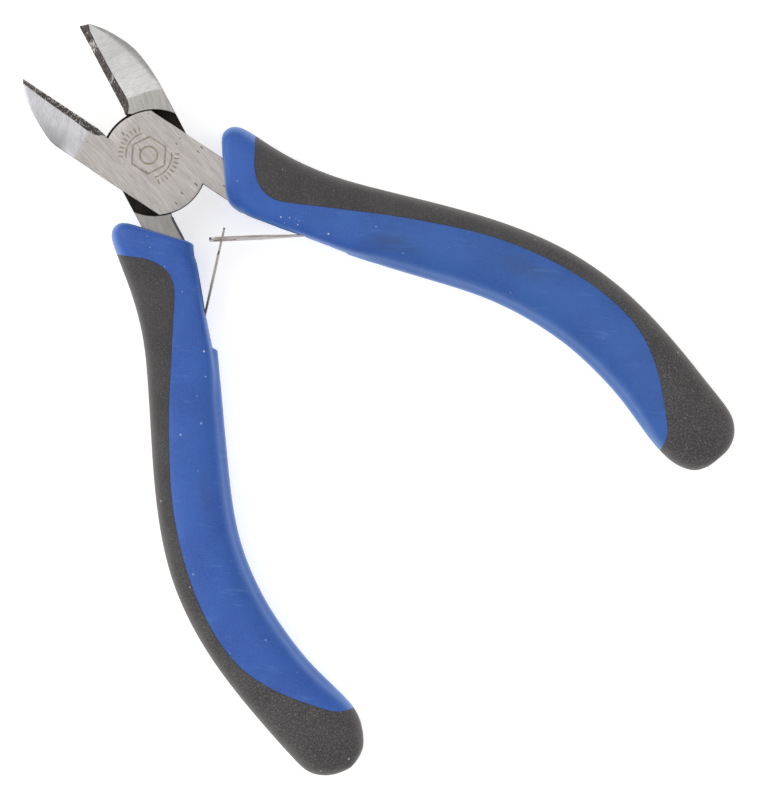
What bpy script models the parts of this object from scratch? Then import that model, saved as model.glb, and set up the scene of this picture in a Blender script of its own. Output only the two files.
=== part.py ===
"""Small flush cut pliers with twin interlocking leaf springs and two-shot moulded grips.

Frame: origin on the pivot axis, at the front face of the head. +Z comes out of that
face, +Y points to the jaws. The model stands in its sprung-open rest position. Lengths
are in millimetres and angles in degrees. Heights are counted from the middle of the
lap joint while the pieces are shaped, and set_down() lowers them to the frame.

The front half has its handle at +X, the back half at -X. Three plan frames are used:
  lever frame   bar along +Y, jaw at -X, tang at +X (mirrored for the back lever)
  handle frame  x from the handles' mirror line, positive outwards
  world         the frame above
"""
import math
from collections import namedtuple

import bmesh
import bpy
import numpy as np
from mathutils import Matrix

MM = 0.001

# ---------------------------------------------------------------- the two halves
SIGN = {"front": 1.0, "back": -1.0}          # side of the mirror line, and of the lap
BAR_TURN = {"front": 16.3, "back": -12.0}    # bar from +Y, positive towards -X
HANDLE_X = 0.35           # mirror line of the two handles

# ---------------------------------------------------------------- head and jaws
HEAD_HALF = 3.25          # half thickness of the head and of the visible tangs
LAP_Z = 0.03              # each half lap stops this far from the mid plane
LAP_R = 7.55              # radius of the lap discs
LAP_END = -79.8           # the lap disc's outline starts again here, past the tang
SHOULDER_R = 7.68         # radius of the shoulders the discs turn in
BAR_OUT = 6.0             # bar side that runs into the tang
BAR_JAW = 5.9             # bar side that runs into the jaw
STUB_Y = -7.6             # the straight bar ends here and the curved tang goes on

EDGE_OFF = 0.40           # the cutting line passes this far from the pivot axis
EDGE_Z = -1.9             # height of the cutting edges
EDGE_FOOT_Y = 9.4         # the edge side is straight from here to the tip
EDGE_FOOT_ANGLE = {"front": 96.0, "back": 93.0}  # where it comes down to the lap disc
TIP_Y = 22.7              # jaw tip along the bar
TAPER_Y = 10.1            # where the front of the jaw starts to thin
TIP_Z = 0.5               # front height at the jaw tip
BACK_SLOPE = 0.23         # back facet falls away from the edge at this slope
BACK_FACET_Y = (8.6, 26.0)
CUT_X = -9.0              # jaw cutters reach out to here, clear of the jaw
CUT_HALF = 5.0            # cutters through a face of the head reach this height

# outer side of the jaw in plan, base to tip: outwards, along the bar
JAW_OUTER = [(BAR_JAW, 8.5), (5.95, 10.6), (5.85, 12.6), (5.5, 14.7), (4.75, 16.8),
             (3.6, 18.95), (2.3, 20.8), (1.1, 22.15)]
# width of the ground bevel in plan: along the bar, front lever, back lever
BEVEL = [(8.2, 0.45, 0.5), (9.6, 0.98, 1.2), (12.0, 0.92, 1.12), (15.5, 0.80, 1.02),
         (19.0, 0.66, 1.04), (21.2, 0.56, 1.10), (22.9, 0.48, 1.30)]

# ---------------------------------------------------------------- pivot rivet
FIT_PRESS = 0.02
FIT_RUN = 0.06
PIN_R = 2.2               # shank
PIN_HEAD_R = 3.0          # countersunk head, at the back
PIN_SUNK = 0.02           # head below the back face
PIN_CONE_Z = (-3.05, -2.25)    # cone under the head
BORE_CONE_Z = (-3.0, -2.15)    # cone of its countersink
PIN_SKIN = 0.8            # metal left over the blind bore at the front
PIN_END_GAP = 0.1
PIN_CHAMFER = 0.2

# ---------------------------------------------------------------- tangs
TANG_IN = 1.36            # inner side of the tang where it leaves the head
TANG_MID = (BAR_OUT + TANG_IN) / 2
TANG_DROP = 0.05          # the tang stands this much below the head's flat faces
TANG_FIT = 0.06           # clearance round the tang inside the grip
TANG_HEAD_Y = (-5.5, -7.2, -8.9, -10.2, -11.3)   # centre line by the head, lever frame
# then it follows the grip's middle, this much nearer the mirror line, station by station
TANG_FIRST_STATION = 6
TANG_LEAN = (0.55, 0.3, 0.1) + (0.0,) * 7
TANG_START = 1.6          # first section; this and the next three are along the tang
TANG_W_AT = (0, 6.5, 19.5)     # where the first three half widths hold
TANG_STEP = (6.7, 8.2)    # it thins from the visible part to the gripped part
TANG_FACE_AT = (20.5, 22.5, 24.5)    # part of the inner face the spring lies on
TANG_W = ((BAR_OUT - TANG_IN) / 2, (BAR_OUT - TANG_IN) / 2, 2.15, 1.6)
TANG_T = (2.1, 1.7)       # half thickness inside the grip: start, end
CHANNEL_STEP = 0.35       # the channel thins this much later than the tang
CHANNEL_END = 0.2         # and runs on this much beyond its end

# ---------------------------------------------------------------- leaf springs
LEAF_T = 0.35             # strip thickness
LEAF_HALF_W = 2.5         # half width
LEAF_LEN = 11.4           # bending point to crossing
LEAF_ANGLE = 52.5         # strip to the handles' mirror line
CROSS_Y = -14.6           # where the two strips cross
SLOT = (10.2, 12.6)       # slot in the front strip, from the bending point
SLOT_HALF = 1.15
TONGUE_HALF = 0.8
FRONT_TIP = 13.25
BACK_SHOULDER = 10.0      # back strip narrows to its tongue here
BACK_TIP = 13.1
TIP_CUT, SHOULDER_CUT, TONGUE_CUT = 0.6, 0.5, 0.3    # chamfers at their corners
HINGE_GAP = 0.16          # free space each side of the bending point
ROOT_OFF = LEAF_T / 2 + 0.02    # middle of the strip to the tang's face
ROOT_LAND = 5.2           # length lying on the tang
KNEE_REACH = 1.5          # the knee is rounded over this length each way
STUD_AT = 0.62            # place of the rivet, as a share of ROOT_LAND
STUD_R = 0.9              # little rivet that holds the strip
STUD_HEAD_R = 1.6
STUD_DEPTH = 2.4
STUD_HOLE = 2.6           # depth of its hole in the tang

# slot in the grip for the root of the strip
POCKET_PLAY = 0.42        # either side of the middle of the strip
POCKET_TANG = 0.28        # towards the tang, from the middle of the strip
POCKET_OPEN = LEAF_T / 2 + 1.0    # away from the tang
POCKET_END = 0.5
POCKET_SIDE = 0.25        # beyond each edge of the strip
POCKET_SWING = -21.5      # turn of the strip that the mouth leaves room for

# ---------------------------------------------------------------- grips
SKIN = 1.4                # thickness of the second shot over the first
GAP = 0.08                # clearance between the two shots

# handle frame, head end first:
# outer x, outer y, inner x, inner y, half thickness, squareness of the section
STATIONS = [
    (9.35, -3.5, 4.6, -10.15, 4.00, 3.6),
    (10.35, -2.8, 4.42, -10.9, 4.50, 3.5),
    (11.55, -3.1, 4.35, -11.8, 4.85, 3.3),
    (12.5, -4.4, 4.42, -12.9, 5.00, 3.1),
    (13.2, -6.2, 4.95, -14.3, 4.95, 2.9),
    (14.15, -9.0, 6.15, -16.6, 4.75, 2.8),
    (15.7, -13.0, 7.95, -19.6, 4.60, 2.7),
    (18.45, -18.2, 10.1, -23.4, 4.50, 2.7),
    (21.95, -23.5, 13.2, -29.1, 4.60, 2.6),
    (25.6, -28.5, 16.45, -34.3, 4.75, 2.5),
    (29.1, -33.3, 19.75, -39.3, 4.90, 2.5),
    (32.55, -38.6, 23.0, -44.4, 5.00, 2.5),
    (35.75, -44.6, 25.45, -49.4, 5.05, 2.5),
    (38.15, -50.7, 27.25, -54.2, 5.05, 2.5),
    (39.75, -57.2, 28.5, -59.2, 5.00, 2.5),
    (40.45, -63.6, 29.05, -64.5, 5.00, 2.5),
    (40.6, -69.8, 29.1, -69.8, 5.05, 2.5),
    (40.45, -75.0, 28.75, -75.2, 5.00, 2.5),
    (40.2, -78.8, 28.85, -79.2, 4.80, 2.5),
    (39.55, -81.9, 29.6, -82.0, 4.30, 2.4),
    (38.1, -84.0, 31.0, -84.0, 3.30, 2.3),
    (36.2, -85.05, 32.9, -85.05, 1.90, 2.2),
]
# parting line of the two shots in plan, handle frame: x, y
PARTING = [(15.6, -4.6), (13.35, -6.4), (12.1, -7.75), (10.6, -9.4), (9.45, -11.3),
           (9.05, -13.0), (9.3, -14.7), (10.6, -16.7), (13.7, -20.0), (17.4, -24.0),
           (21.1, -28.0), (25.6, -33.4), (29.9, -39.2), (33.4, -45.4), (35.9, -51.5),
           (37.3, -57.0), (37.75, -62.0), (37.0, -66.6), (35.1, -71.2),
           (32.4, -75.7), (29.4, -79.6), (26.4, -82.8)]
# corners that close the parting line round the outside of the grip
PARTING_OUTSIDE = [(24.0, -92.0), (52.0, -92.0), (52.0, -2.0), (18.0, -2.0)]
PARTING_STEPS = 3         # steps from one point of the parting line to the next
PARTING_HALF_H = 8.0

# the rib on the inner wall; places are counted in stations
RIB_FROM, RIB_TO = 8.15, 17.6
RIB_RISE, RIB_FADE = 0.12, 1.2
RIB_H, RIB_HALF = 0.8, 1.5        # height and half width
RIB_FLANK = 0.5

OUTER_RINGS, OUTER_SIDES = 40, 20
OUTER_EXTRA = [RIB_FROM, RIB_FROM + RIB_RISE, 19.5, 20.5]   # further rings, by station
INNER_RINGS, INNER_SIDES = 30, 16
INNER_FROM, INNER_TO = 2.5, 19.4  # stations between which the first shot is set in

# ---------------------------------------------------------------- materials
Finish = namedtuple("Finish", "colour roughness metallic")
FINISHES = {
    "steel": Finish(colour=(0.50, 0.48, 0.46), roughness=0.34, metallic=1.0),
    "spring": Finish(colour=(0.36, 0.33, 0.31), roughness=0.30, metallic=1.0),
    "rivet": Finish(colour=(0.42, 0.40, 0.38), roughness=0.38, metallic=1.0),
    "blue": Finish(colour=(0.04, 0.115, 0.42), roughness=0.45, metallic=0.0),
    "black": Finish(colour=(0.066, 0.062, 0.064), roughness=0.70, metallic=0.0),
}
METAL_SHARP, GRIP_SHARP = 32.0, 50.0     # edges stay sharp above these angles


# ---------------------------------------------------------------- plan geometry
def natural_curve(points, at, knots=None):
    """Natural cubic through points. Parameter: index of the point, or its knot."""
    p = np.array(points, float)
    count = len(p)
    knot = np.arange(count, dtype=float) if knots is None else np.array(knots, float)
    step = np.diff(knot)
    system = np.zeros((count, count))
    right = np.zeros((count, p.shape[1]))
    system[0, 0] = system[-1, -1] = 1.0
    for i in range(1, count - 1):
        system[i, i - 1:i + 2] = (step[i - 1], 2 * (step[i - 1] + step[i]), step[i])
        right[i] = 6.0 * ((p[i + 1] - p[i]) / step[i] - (p[i] - p[i - 1]) / step[i - 1])
    bend = np.linalg.solve(system, right)
    out = []
    for t in at:
        j = int(min(max(np.searchsorted(knot, t, side='right') - 1, 0), count - 2))
        u = (t - knot[j]) / step[j]
        v = 1.0 - u
        cubic = bend[j] * (v ** 3 - v) + bend[j + 1] * (u ** 3 - u)
        out.append(cubic * step[j] ** 2 / 6 + p[j] * v + p[j + 1] * u)
    return np.array(out)


def chord_lengths(points):
    steps = np.linalg.norm(np.diff(np.array(points, float), axis=0), axis=1)
    return np.concatenate([[0.0], np.cumsum(steps)])


def unit(vectors):
    """One vector, or each row of an array, at length 1."""
    return vectors / np.linalg.norm(vectors, axis=-1, keepdims=True)


def evenly(start, end, steps):
    return [start + (end - start) * i / steps for i in range(steps + 1)]


def rotate(x, y, degrees):
    c, s = math.cos(math.radians(degrees)), math.sin(math.radians(degrees))
    return x * c - y * s, x * s + y * c


def arc(radius, start, end, steps=14):
    return [(radius * math.cos(math.radians(angle)), radius * math.sin(math.radians(angle)))
            for angle in evenly(start, end, steps)]


def circle(radius, steps):
    angles = [2 * math.pi * i / steps for i in range(steps)]
    return [(radius * math.cos(angle), radius * math.sin(angle)) for angle in angles]


def offset_line(points, distance):
    """Open plan line moved sideways, to its left for a positive distance."""
    p = np.array(points, float)
    ahead = unit(np.gradient(p, axis=0))
    left = np.stack([-ahead[:, 1], ahead[:, 0]], axis=1)
    return [tuple(q) for q in p + distance * left]


def smoothstep(x):
    x = min(max(x, 0.0), 1.0)
    return x * x * (3 - 2 * x)


def lever_to_world(side, x, y):
    return rotate(SIGN[side] * x, y, BAR_TURN[side])


def handle_to_world(side, x, y):
    return HANDLE_X + SIGN[side] * x, y


# ---------------------------------------------------------------- mesh helpers
def face_outwards(bm):
    bmesh.ops.recalc_face_normals(bm, faces=bm.faces[:])
    if bm.calc_volume(signed=True) < 0:
        bmesh.ops.reverse_faces(bm, faces=bm.faces[:])


def loft(name, rings, split=False):
    """Closed solid through rings of equal length, with flat ends. split cuts each side
    face along the same diagonal, for two lofts that have to nest."""
    bm = bmesh.new()
    rows = [[bm.verts.new((x * MM, y * MM, z * MM)) for x, y, z in ring] for ring in rings]
    for a, b in zip(rows, rows[1:]):
        for i in range(len(a)):
            j = (i + 1) % len(a)
            if split:
                bm.faces.new((a[i], a[j], b[j]))
                bm.faces.new((a[i], b[j], b[i]))
            else:
                bm.faces.new((a[i], a[j], b[j], b[i]))
    bm.faces.new(rows[0])
    bm.faces.new(rows[-1][::-1])
    face_outwards(bm)
    mesh = bpy.data.meshes.new(name)
    bm.to_mesh(mesh)
    bm.free()
    ob = bpy.data.objects.new(name, mesh)
    bpy.context.scene.collection.objects.link(ob)
    return ob


def prism(name, outline, z0, z1):
    return loft(name, [[(x, y, z) for x, y in outline] for z in (z0, z1)])


def turned(name, profile, steps=48):
    """Solid of revolution about Z through (radius, z) pairs, both ends closed flat."""
    return loft(name, [[(x, y, z) for x, y in circle(radius, steps)]
                       for radius, z in profile])


def combine(target, other, operation):
    """Exact Boolean of target with other, applied at once; other is used up."""
    mod = target.modifiers.new("cut", 'BOOLEAN')
    mod.operation = operation
    mod.solver = 'EXACT'
    mod.object = other
    deps = bpy.context.evaluated_depsgraph_get()
    deps.update()
    result = bpy.data.meshes.new_from_object(target.evaluated_get(deps))
    used = (target.data, other.data)
    target.modifiers.clear()
    target.data = result
    bpy.data.objects.remove(other, do_unlink=True)
    for mesh in used:
        bpy.data.meshes.remove(mesh)


def cut(target, tool):
    combine(target, tool, 'DIFFERENCE')


def transform(ob, move):
    """Move every vertex with move (millimetres), turning faces over if it mirrors."""
    bm = bmesh.new()
    bm.from_mesh(ob.data)
    for v in bm.verts:
        v.co = [c * MM for c in move(*(c / MM for c in v.co))]
    face_outwards(bm)
    bm.to_mesh(ob.data)
    bm.free()


def finish(ob, kind, sharp=METAL_SHARP):
    """Give the piece its material, weld its vertices and shade it."""
    look = FINISHES[kind]
    mat = bpy.data.materials.new(ob.name + "_finish")
    mat.use_nodes = True
    inputs = mat.node_tree.nodes["Principled BSDF"].inputs
    inputs["Base Color"].default_value = (*look.colour, 1.0)
    inputs["Roughness"].default_value = look.roughness
    inputs["Metallic"].default_value = look.metallic
    mat.diffuse_color = (*look.colour, 1.0)
    bm = bmesh.new()
    bm.from_mesh(ob.data)
    bmesh.ops.remove_doubles(bm, verts=bm.verts[:], dist=0.000001)
    bm.to_mesh(ob.data)
    bm.free()
    ob.data.materials.clear()
    ob.data.materials.append(mat)
    ob.data.shade_smooth()
    ob.data.set_sharp_from_angle(angle=math.radians(sharp))


# ---------------------------------------------------------------- tangs
def tang_path(side):
    """Centre line of the tang in the world, and the distance along it at each point."""
    points = [lever_to_world(side, TANG_MID, y) for y in TANG_HEAD_Y]
    for k, lean in enumerate(TANG_LEAN, TANG_FIRST_STATION):
        outer_x, outer_y, inner_x, inner_y = STATIONS[k][:4]
        x, y = (outer_x + inner_x) / 2, (outer_y + inner_y) / 2
        points.append(handle_to_world(side, x - lean, y))
    return points, chord_lengths(points)


def tang_half_width(along, total):
    return np.interp(along, (*TANG_W_AT, total), TANG_W)


def tang_solid(side, channel=False):
    """The tang, or the channel for it in the grip, through rectangular sections."""
    grow = TANG_FIT if channel else 0.0
    delay = CHANNEL_STEP if channel else 0.0
    points, knots = tang_path(side)
    total = knots[-1]
    at = sorted(evenly(TANG_START, total, 26) + list(TANG_STEP))
    if channel:
        at = [0.0] + at
    line = natural_curve(points, at, knots)
    ahead = natural_curve(points, [t + 0.01 for t in at], knots)
    top = HEAD_HALF - TANG_DROP
    rings = []
    for t, (x, y), along in zip(at, line, unit(ahead - line)):
        height = np.interp(t - delay, (0, *TANG_STEP, total), (top, top, *TANG_T)) + grow
        nx, ny = np.array((-along[1], along[0])) * (tang_half_width(t, total) + grow)
        rings.append([(x + nx, y + ny, height), (x - nx, y - ny, height),
                      (x - nx, y - ny, -height), (x + nx, y + ny, -height)])
    if channel:
        dx, dy = unit(line[-1] - line[-2]) * CHANNEL_END
        rings[-1] = [(x + dx, y + dy, z) for x, y, z in rings[-1]]
    return loft("tang", rings, split=True)


# ---------------------------------------------------------------- levers
def front_height(y):
    """Height of the front of the jaw at y along the bar."""
    return HEAD_HALF - (HEAD_HALF - TIP_Z) * max(y - TAPER_Y, 0.0) / (TIP_Y - TAPER_Y)


def lever_outline(side, edge_x):
    tang_angle = math.degrees(math.acos(BAR_OUT / LAP_R))
    jaw_angle = math.degrees(math.acos(BAR_JAW / LAP_R))
    foot = EDGE_FOOT_ANGLE[side]
    out = [(edge_x - 0.1, TIP_Y), (edge_x, TIP_Y - 0.15), (edge_x, EDGE_FOOT_Y),
           (LAP_R * math.cos(math.radians(foot)), SHOULDER_R + 0.05)]
    out += arc(LAP_R, foot, tang_angle)
    out += [(BAR_OUT, STUB_Y), (TANG_IN, STUB_Y)]
    out += arc(LAP_R, LAP_END, -180.0 + jaw_angle)
    out += [(-x, y) for x, y in JAW_OUTER]
    return out


def jaw_taper():
    """Cutter that thins the front of the jaw towards its tip."""
    end, top = TIP_Y + 3, 6.0
    return loft("taper", [[(x, TAPER_Y, HEAD_HALF), (x, end, front_height(end)),
                           (x, end, top), (x, TAPER_Y, top)] for x in (CUT_X, 3.0)])


def jaw_bevel(side, edge_x):
    """Cutter for the ground bevel that forms the cutting edge."""
    clear_x = edge_x + 3.0
    rings = []
    for y, front_width, back_width in BEVEL:
        width = front_width if side == "front" else back_width
        lean = width / (front_height(y) - EDGE_Z)
        rings.append([(edge_x, y, EDGE_Z), (edge_x - lean * (CUT_HALF - EDGE_Z), y, CUT_HALF),
                      (clear_x, y, CUT_HALF), (clear_x, y, EDGE_Z)])
    return loft("bevel", rings)


def jaw_back_facet(edge_x):
    """Cutter for the back facet, running down and away from the cutting edge."""
    over, bottom = 1.5, -6.0
    return loft("back", [[(edge_x + over, y, EDGE_Z + over * BACK_SLOPE),
                          (CUT_X, y, EDGE_Z - (edge_x - CUT_X) * BACK_SLOPE),
                          (CUT_X, y, bottom), (edge_x + over, y, bottom)]
                         for y in BACK_FACET_Y])


def pivot_bore(side):
    """Blind press fit in the front lever, countersunk running fit in the back one."""
    if side == "front":
        radius = PIN_R + FIT_PRESS
        return turned("bore", [(radius, -1.0), (radius, HEAD_HALF - PIN_SKIN)])
    head, shank = PIN_HEAD_R + FIT_RUN, PIN_R + FIT_RUN
    rim_z, neck_z = BORE_CONE_Z
    return turned("bore", [(head, -4.0), (head, rim_z), (shank, neck_z), (shank, 1.0)])


def make_lever(side):
    edge_x = -SIGN[side] * EDGE_OFF
    body = prism(side + "_lever", lever_outline(side, edge_x), -HEAD_HALF, HEAD_HALF)
    cut(body, jaw_taper())
    cut(body, jaw_bevel(side, edge_x))
    cut(body, jaw_back_facet(edge_x))
    transform(body, lambda x, y, z: (*lever_to_world(side, x, y), z))
    combine(body, tang_solid(side), 'UNION')
    # half lap and its round shoulders
    lap = SIGN[side]
    cut(body, turned("lap", [(SHOULDER_R, lap * LAP_Z), (SHOULDER_R, -lap * CUT_HALF)], 96))
    cut(body, pivot_bore(side))
    cut(body, stud_hole(side, STUD_HOLE))
    finish(body, "steel")
    return body


def make_pivot():
    rim_z, neck_z = PIN_CONE_Z
    top = HEAD_HALF - PIN_SKIN - PIN_END_GAP
    pin = turned("pivot_rivet", [(PIN_HEAD_R, -HEAD_HALF + PIN_SUNK), (PIN_HEAD_R, rim_z),
                                 (PIN_R, neck_z), (PIN_R, top - PIN_CHAMFER),
                                 (PIN_R - PIN_CHAMFER, top)])
    finish(pin, "rivet")
    return pin


# ---------------------------------------------------------------- leaf springs
# handle frame: bending point, knee, end on the tang; unit vectors from the bending point
# to the knee, along the tang away from the head, and off the tang to the mirror line
Root = namedtuple("Root", "bend knee end back along inward")


def leaf_line():
    """Bending point and unit vector to the free end, in the handle frame."""
    angle = math.radians(LEAF_ANGLE)
    s, c = math.sin(angle), math.cos(angle)
    return np.array((LEAF_LEN * s, CROSS_Y - LEAF_LEN * c)), np.array((-s, c))


def tang_face(side):
    """A point on the inner face of the tang beside the spring, and the direction of the
    face, in the handle frame."""
    points, knots = tang_path(side)
    line = natural_curve(points, TANG_FACE_AT, knots)
    sign = SIGN[side]
    face = []
    for t, point, along in zip(TANG_FACE_AT, line, unit(np.gradient(line, axis=0))):
        normal = np.array((along[1], -along[0])) * sign
        x, y = point + normal * tang_half_width(t, knots[-1])
        face.append(np.array(((x - HANDLE_X) * sign, y)))
    return face[1], unit(face[2] - face[0])


def root_line(side):
    """Plan line of the fixed end of a strip."""
    bend, free = leaf_line()
    on_face, along = tang_face(side)
    inward = np.array((along[1], -along[0]))
    if inward[0] > 0:
        inward = -inward
    base = on_face + inward * ROOT_OFF
    # the knee is where the strip's straight line meets the line lying on the tang
    lines = np.array([[-free[0], -along[0]], [-free[1], -along[1]]])
    reach, _ = np.linalg.solve(lines, base - bend)
    knee = bend - free * reach
    return Root(bend, knee, knee + along * ROOT_LAND, unit(knee - bend), along, inward)


def along_stud(name, side, profile):
    """Round solid on the stud's axis through (radius, depth) pairs. Depth is counted
    from the tang's inner face into the tang."""
    root = root_line(side)
    centre = root.knee + root.along * (ROOT_LAND * STUD_AT) - root.inward * ROOT_OFF
    px, py = handle_to_world(side, *centre)
    ax, ay = -root.inward[0] * SIGN[side], -root.inward[1]
    return loft(name, [[(px + ax * depth - ay * u, py + ay * depth + ax * u, z)
                        for u, z in circle(radius, 20)] for radius, depth in profile])


def stud_hole(side, depth):
    radius = STUD_R + FIT_PRESS
    return along_stud("hole", side, [(radius, -1.0), (radius, depth)])


def make_stud(side):
    """Rivet whose head stands out from the strip and whose shank goes into the tang."""
    seat = -(LEAF_T + 0.06)
    stud = along_stud(side + "_spring_rivet", side, [
        (STUD_HEAD_R * 0.75, seat - 0.45), (STUD_HEAD_R, seat - 0.25), (STUD_HEAD_R, seat),
        (STUD_R, seat), (STUD_R, STUD_DEPTH)])
    finish(stud, "rivet")
    return stud


def leaf_outline(side):
    """Outline of the free strip in its own plane: along it from the bending point, z."""
    w, n = LEAF_HALF_W, TONGUE_HALF
    if side == "front":
        lower = [(HINGE_GAP, -w), (FRONT_TIP - TIP_CUT, -w), (FRONT_TIP, -w + TIP_CUT)]
    else:
        lower = [(HINGE_GAP, -w), (BACK_SHOULDER - SHOULDER_CUT, -w),
                 (BACK_SHOULDER, -w + SHOULDER_CUT), (BACK_SHOULDER, -n),
                 (BACK_TIP - TONGUE_CUT, -n), (BACK_TIP, -n + TONGUE_CUT)]
    return lower + [(x, -z) for x, z in reversed(lower)]


def make_strip(side):
    """Free part of the spring; the front one is slotted for the back one's tongue."""
    (hx, hy), (fx, fy) = leaf_line()

    def plate(name, outline, half):
        return loft(name, [[(*handle_to_world(side, hx + fx * x - fy * w,
                                              hy + fy * x + fx * w), z)
                            for x, z in outline] for w in (-half, half)])

    strip = plate(side + "_leaf_spring", leaf_outline(side), LEAF_T / 2)
    if side == "front":
        slot = [(SLOT[0], -SLOT_HALF), (SLOT[1], -SLOT_HALF),
                (SLOT[1], SLOT_HALF), (SLOT[0], SLOT_HALF)]
        cut(strip, plate("slot", slot, 1))
    finish(strip, "spring")
    return strip


def make_root(side):
    """Fixed part of the spring, bent at a rounded knee to lie on the tang."""
    root = root_line(side)
    before = root.knee - root.back * KNEE_REACH
    after = root.knee + root.along * KNEE_REACH
    line = [root.bend + root.back * HINGE_GAP]
    for t in evenly(0.0, 1.0, 6):
        line.append((1 - t) ** 2 * before + 2 * t * (1 - t) * root.knee + t * t * after)
    line.append(root.end)
    plan = offset_line(line, LEAF_T / 2) + offset_line(line, -LEAF_T / 2)[::-1]
    outline = [handle_to_world(side, *p) for p in plan]
    piece = prism(side + "_leaf_spring_root", outline, -LEAF_HALF_W, LEAF_HALF_W)
    cut(piece, stud_hole(side, 1.0))
    finish(piece, "spring")
    return piece


def spring_pocket(side):
    """Slot in the grip that the strip's root lies in, widened where the strip swings."""
    bend, knee, end, back, along, inward = root_line(side)
    free = leaf_line()[1]
    swung = np.array(rotate(*free, POCKET_SWING))
    across = np.array((-back[1], back[0]))
    if np.dot(across, inward) > 0:
        across = -across
    plan = [
        # mouth, and the wall on the tang's side of the strip
        bend + free * 9.0 + swung * 2.0,
        bend + swung * 10.0 + across * 0.35,
        bend + swung * 0.2 + across * POCKET_PLAY,
        knee + across * POCKET_PLAY - back * 0.1,
        # round the part on the tang
        knee - inward * POCKET_TANG + along * 0.8,
        end - inward * POCKET_TANG + along * POCKET_END,
        end + inward * POCKET_OPEN + along * POCKET_END,
        knee + inward * POCKET_OPEN + along * 0.3,
        # back to the mouth along the other side of the strip
        knee - back * 1.5 - across * POCKET_PLAY,
        bend - across * POCKET_PLAY,
        bend - across * 3.0 + free * 1.0,
    ]
    half = LEAF_HALF_W + POCKET_SIDE
    return prism("pocket", [handle_to_world(side, *p) for p in plan], -half, half)


# ---------------------------------------------------------------- grips
def grip_ring(station, inset, rib_drop, sides):
    """Superellipse section in the handle frame; the wall beside the rib stands back by
    rib_drop."""
    outer_x, outer_y, inner_x, inner_y, half, square = station
    centre = np.array(((outer_x + inner_x) / 2, (outer_y + inner_y) / 2))
    to_outer = np.array(((outer_x - inner_x) / 2, (outer_y - inner_y) / 2))
    length = np.linalg.norm(to_outer)
    outward = to_outer / length
    x_half, z_half = length - inset, half - inset
    ring = []
    for i in range(sides):
        angle = 2 * math.pi * (i + 0.5) / sides
        c, s = math.cos(angle), math.sin(angle)
        x = x_half * math.copysign(abs(c) ** (2 / square), c)
        z = z_half * math.copysign(abs(s) ** (2 / square), s)
        if x < 0 and rib_drop > 0:
            flank = smoothstep((abs(z) - RIB_HALF) / RIB_FLANK)
            x += rib_drop * flank * min(1.0, -x / (0.6 * x_half))
        ring.append((*(centre + outward * x), z))
    return ring


def grip_loft(side, name, at, sides, inset=0.0, ribbed=False):
    rings = []
    for s, station in zip(at, natural_curve(STATIONS, at)):
        rib = smoothstep((s - RIB_FROM) / RIB_RISE) * smoothstep((RIB_TO - s) / RIB_FADE)
        ring = grip_ring(station, inset, RIB_H * rib if ribbed else 0.0, sides)
        rings.append([(*handle_to_world(side, x, y), z) for x, y, z in ring])
    return loft(name, rings)


def grip_outer(side, name):
    """The whole outside of the grip."""
    at = evenly(0.0, float(len(STATIONS) - 1), OUTER_RINGS)
    return grip_loft(side, name, sorted(set(at + OUTER_EXTRA)), OUTER_SIDES, ribbed=True)


def grip_inner(side, inset):
    """The grip set in under the second shot."""
    at = evenly(INNER_FROM, INNER_TO - (inset - SKIN), INNER_RINGS)
    return grip_loft(side, "inner", at, INNER_SIDES, inset=inset)


def outside_parting(side, shift):
    """Block outside the parting line, grown inwards by shift."""
    steps = PARTING_STEPS * (len(PARTING) - 1)
    line = natural_curve(PARTING, [i / PARTING_STEPS for i in range(steps + 1)])
    plan = offset_line(line, -shift) + PARTING_OUTSIDE
    outline = [handle_to_world(side, *p) for p in plan]
    return prism("outside", outline, -PARTING_HALF_H, PARTING_HALF_H)


def make_overmould(side):
    """Second shot: the skin outside the parting line."""
    skin = grip_outer(side, side + "_grip_overmould")
    combine(skin, outside_parting(side, 0.0), 'INTERSECT')
    cut(skin, grip_inner(side, SKIN))
    finish(skin, "black", GRIP_SHARP)
    return skin


def make_core(side):
    """First shot: rebated for the skin, hollow for the tang and the spring's root."""
    core = grip_outer(side, side + "_grip_core")
    rebate = outside_parting(side, GAP)
    cut(rebate, grip_inner(side, SKIN + GAP))
    cut(core, rebate)
    cut(core, tang_solid(side, channel=True))
    cut(core, spring_pocket(side))
    finish(core, "blue", GRIP_SHARP)
    return core


# ---------------------------------------------------------------- build
def set_down(ob, frame, x=0.0, y=0.0):
    """Lower the piece to the frame, with its origin on its own axis of motion."""
    ob.data.transform(Matrix.Translation((-x * MM, -y * MM, -HEAD_HALF * MM)))
    ob.location = (x * MM, y * MM, 0.0)
    ob.parent = frame


def build_half(side):
    frame = bpy.data.objects.new(side + "_half_frame", None)
    bpy.context.scene.collection.objects.link(frame)
    for make in (make_root, make_stud, make_lever, make_overmould, make_core):
        set_down(make(side), frame)
    set_down(make_strip(side), frame, *handle_to_world(side, *leaf_line()[0]))
    if side == "front":
        set_down(make_pivot(), frame)


for old in list(bpy.data.objects):
    bpy.data.objects.remove(old, do_unlink=True)

for half_side in ("front", "back"):
    build_half(half_side)
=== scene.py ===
# Spring-opened hand cutters: two levers on a pivot rivet, each with a two-shot grip and a
# leaf spring. They lie flat, the jaws to +Y and the handles to -Y, with the pivot on the
# Z axis and the origin on the upper face of the head. The front lever has the upper disc,
# its jaw towards -X and its handle towards +X. The back lever mirrors it underneath.
import math

import bmesh
import bpy
import numpy as np
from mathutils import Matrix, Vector
from mathutils.geometry import delaunay_2d_cdt


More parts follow.
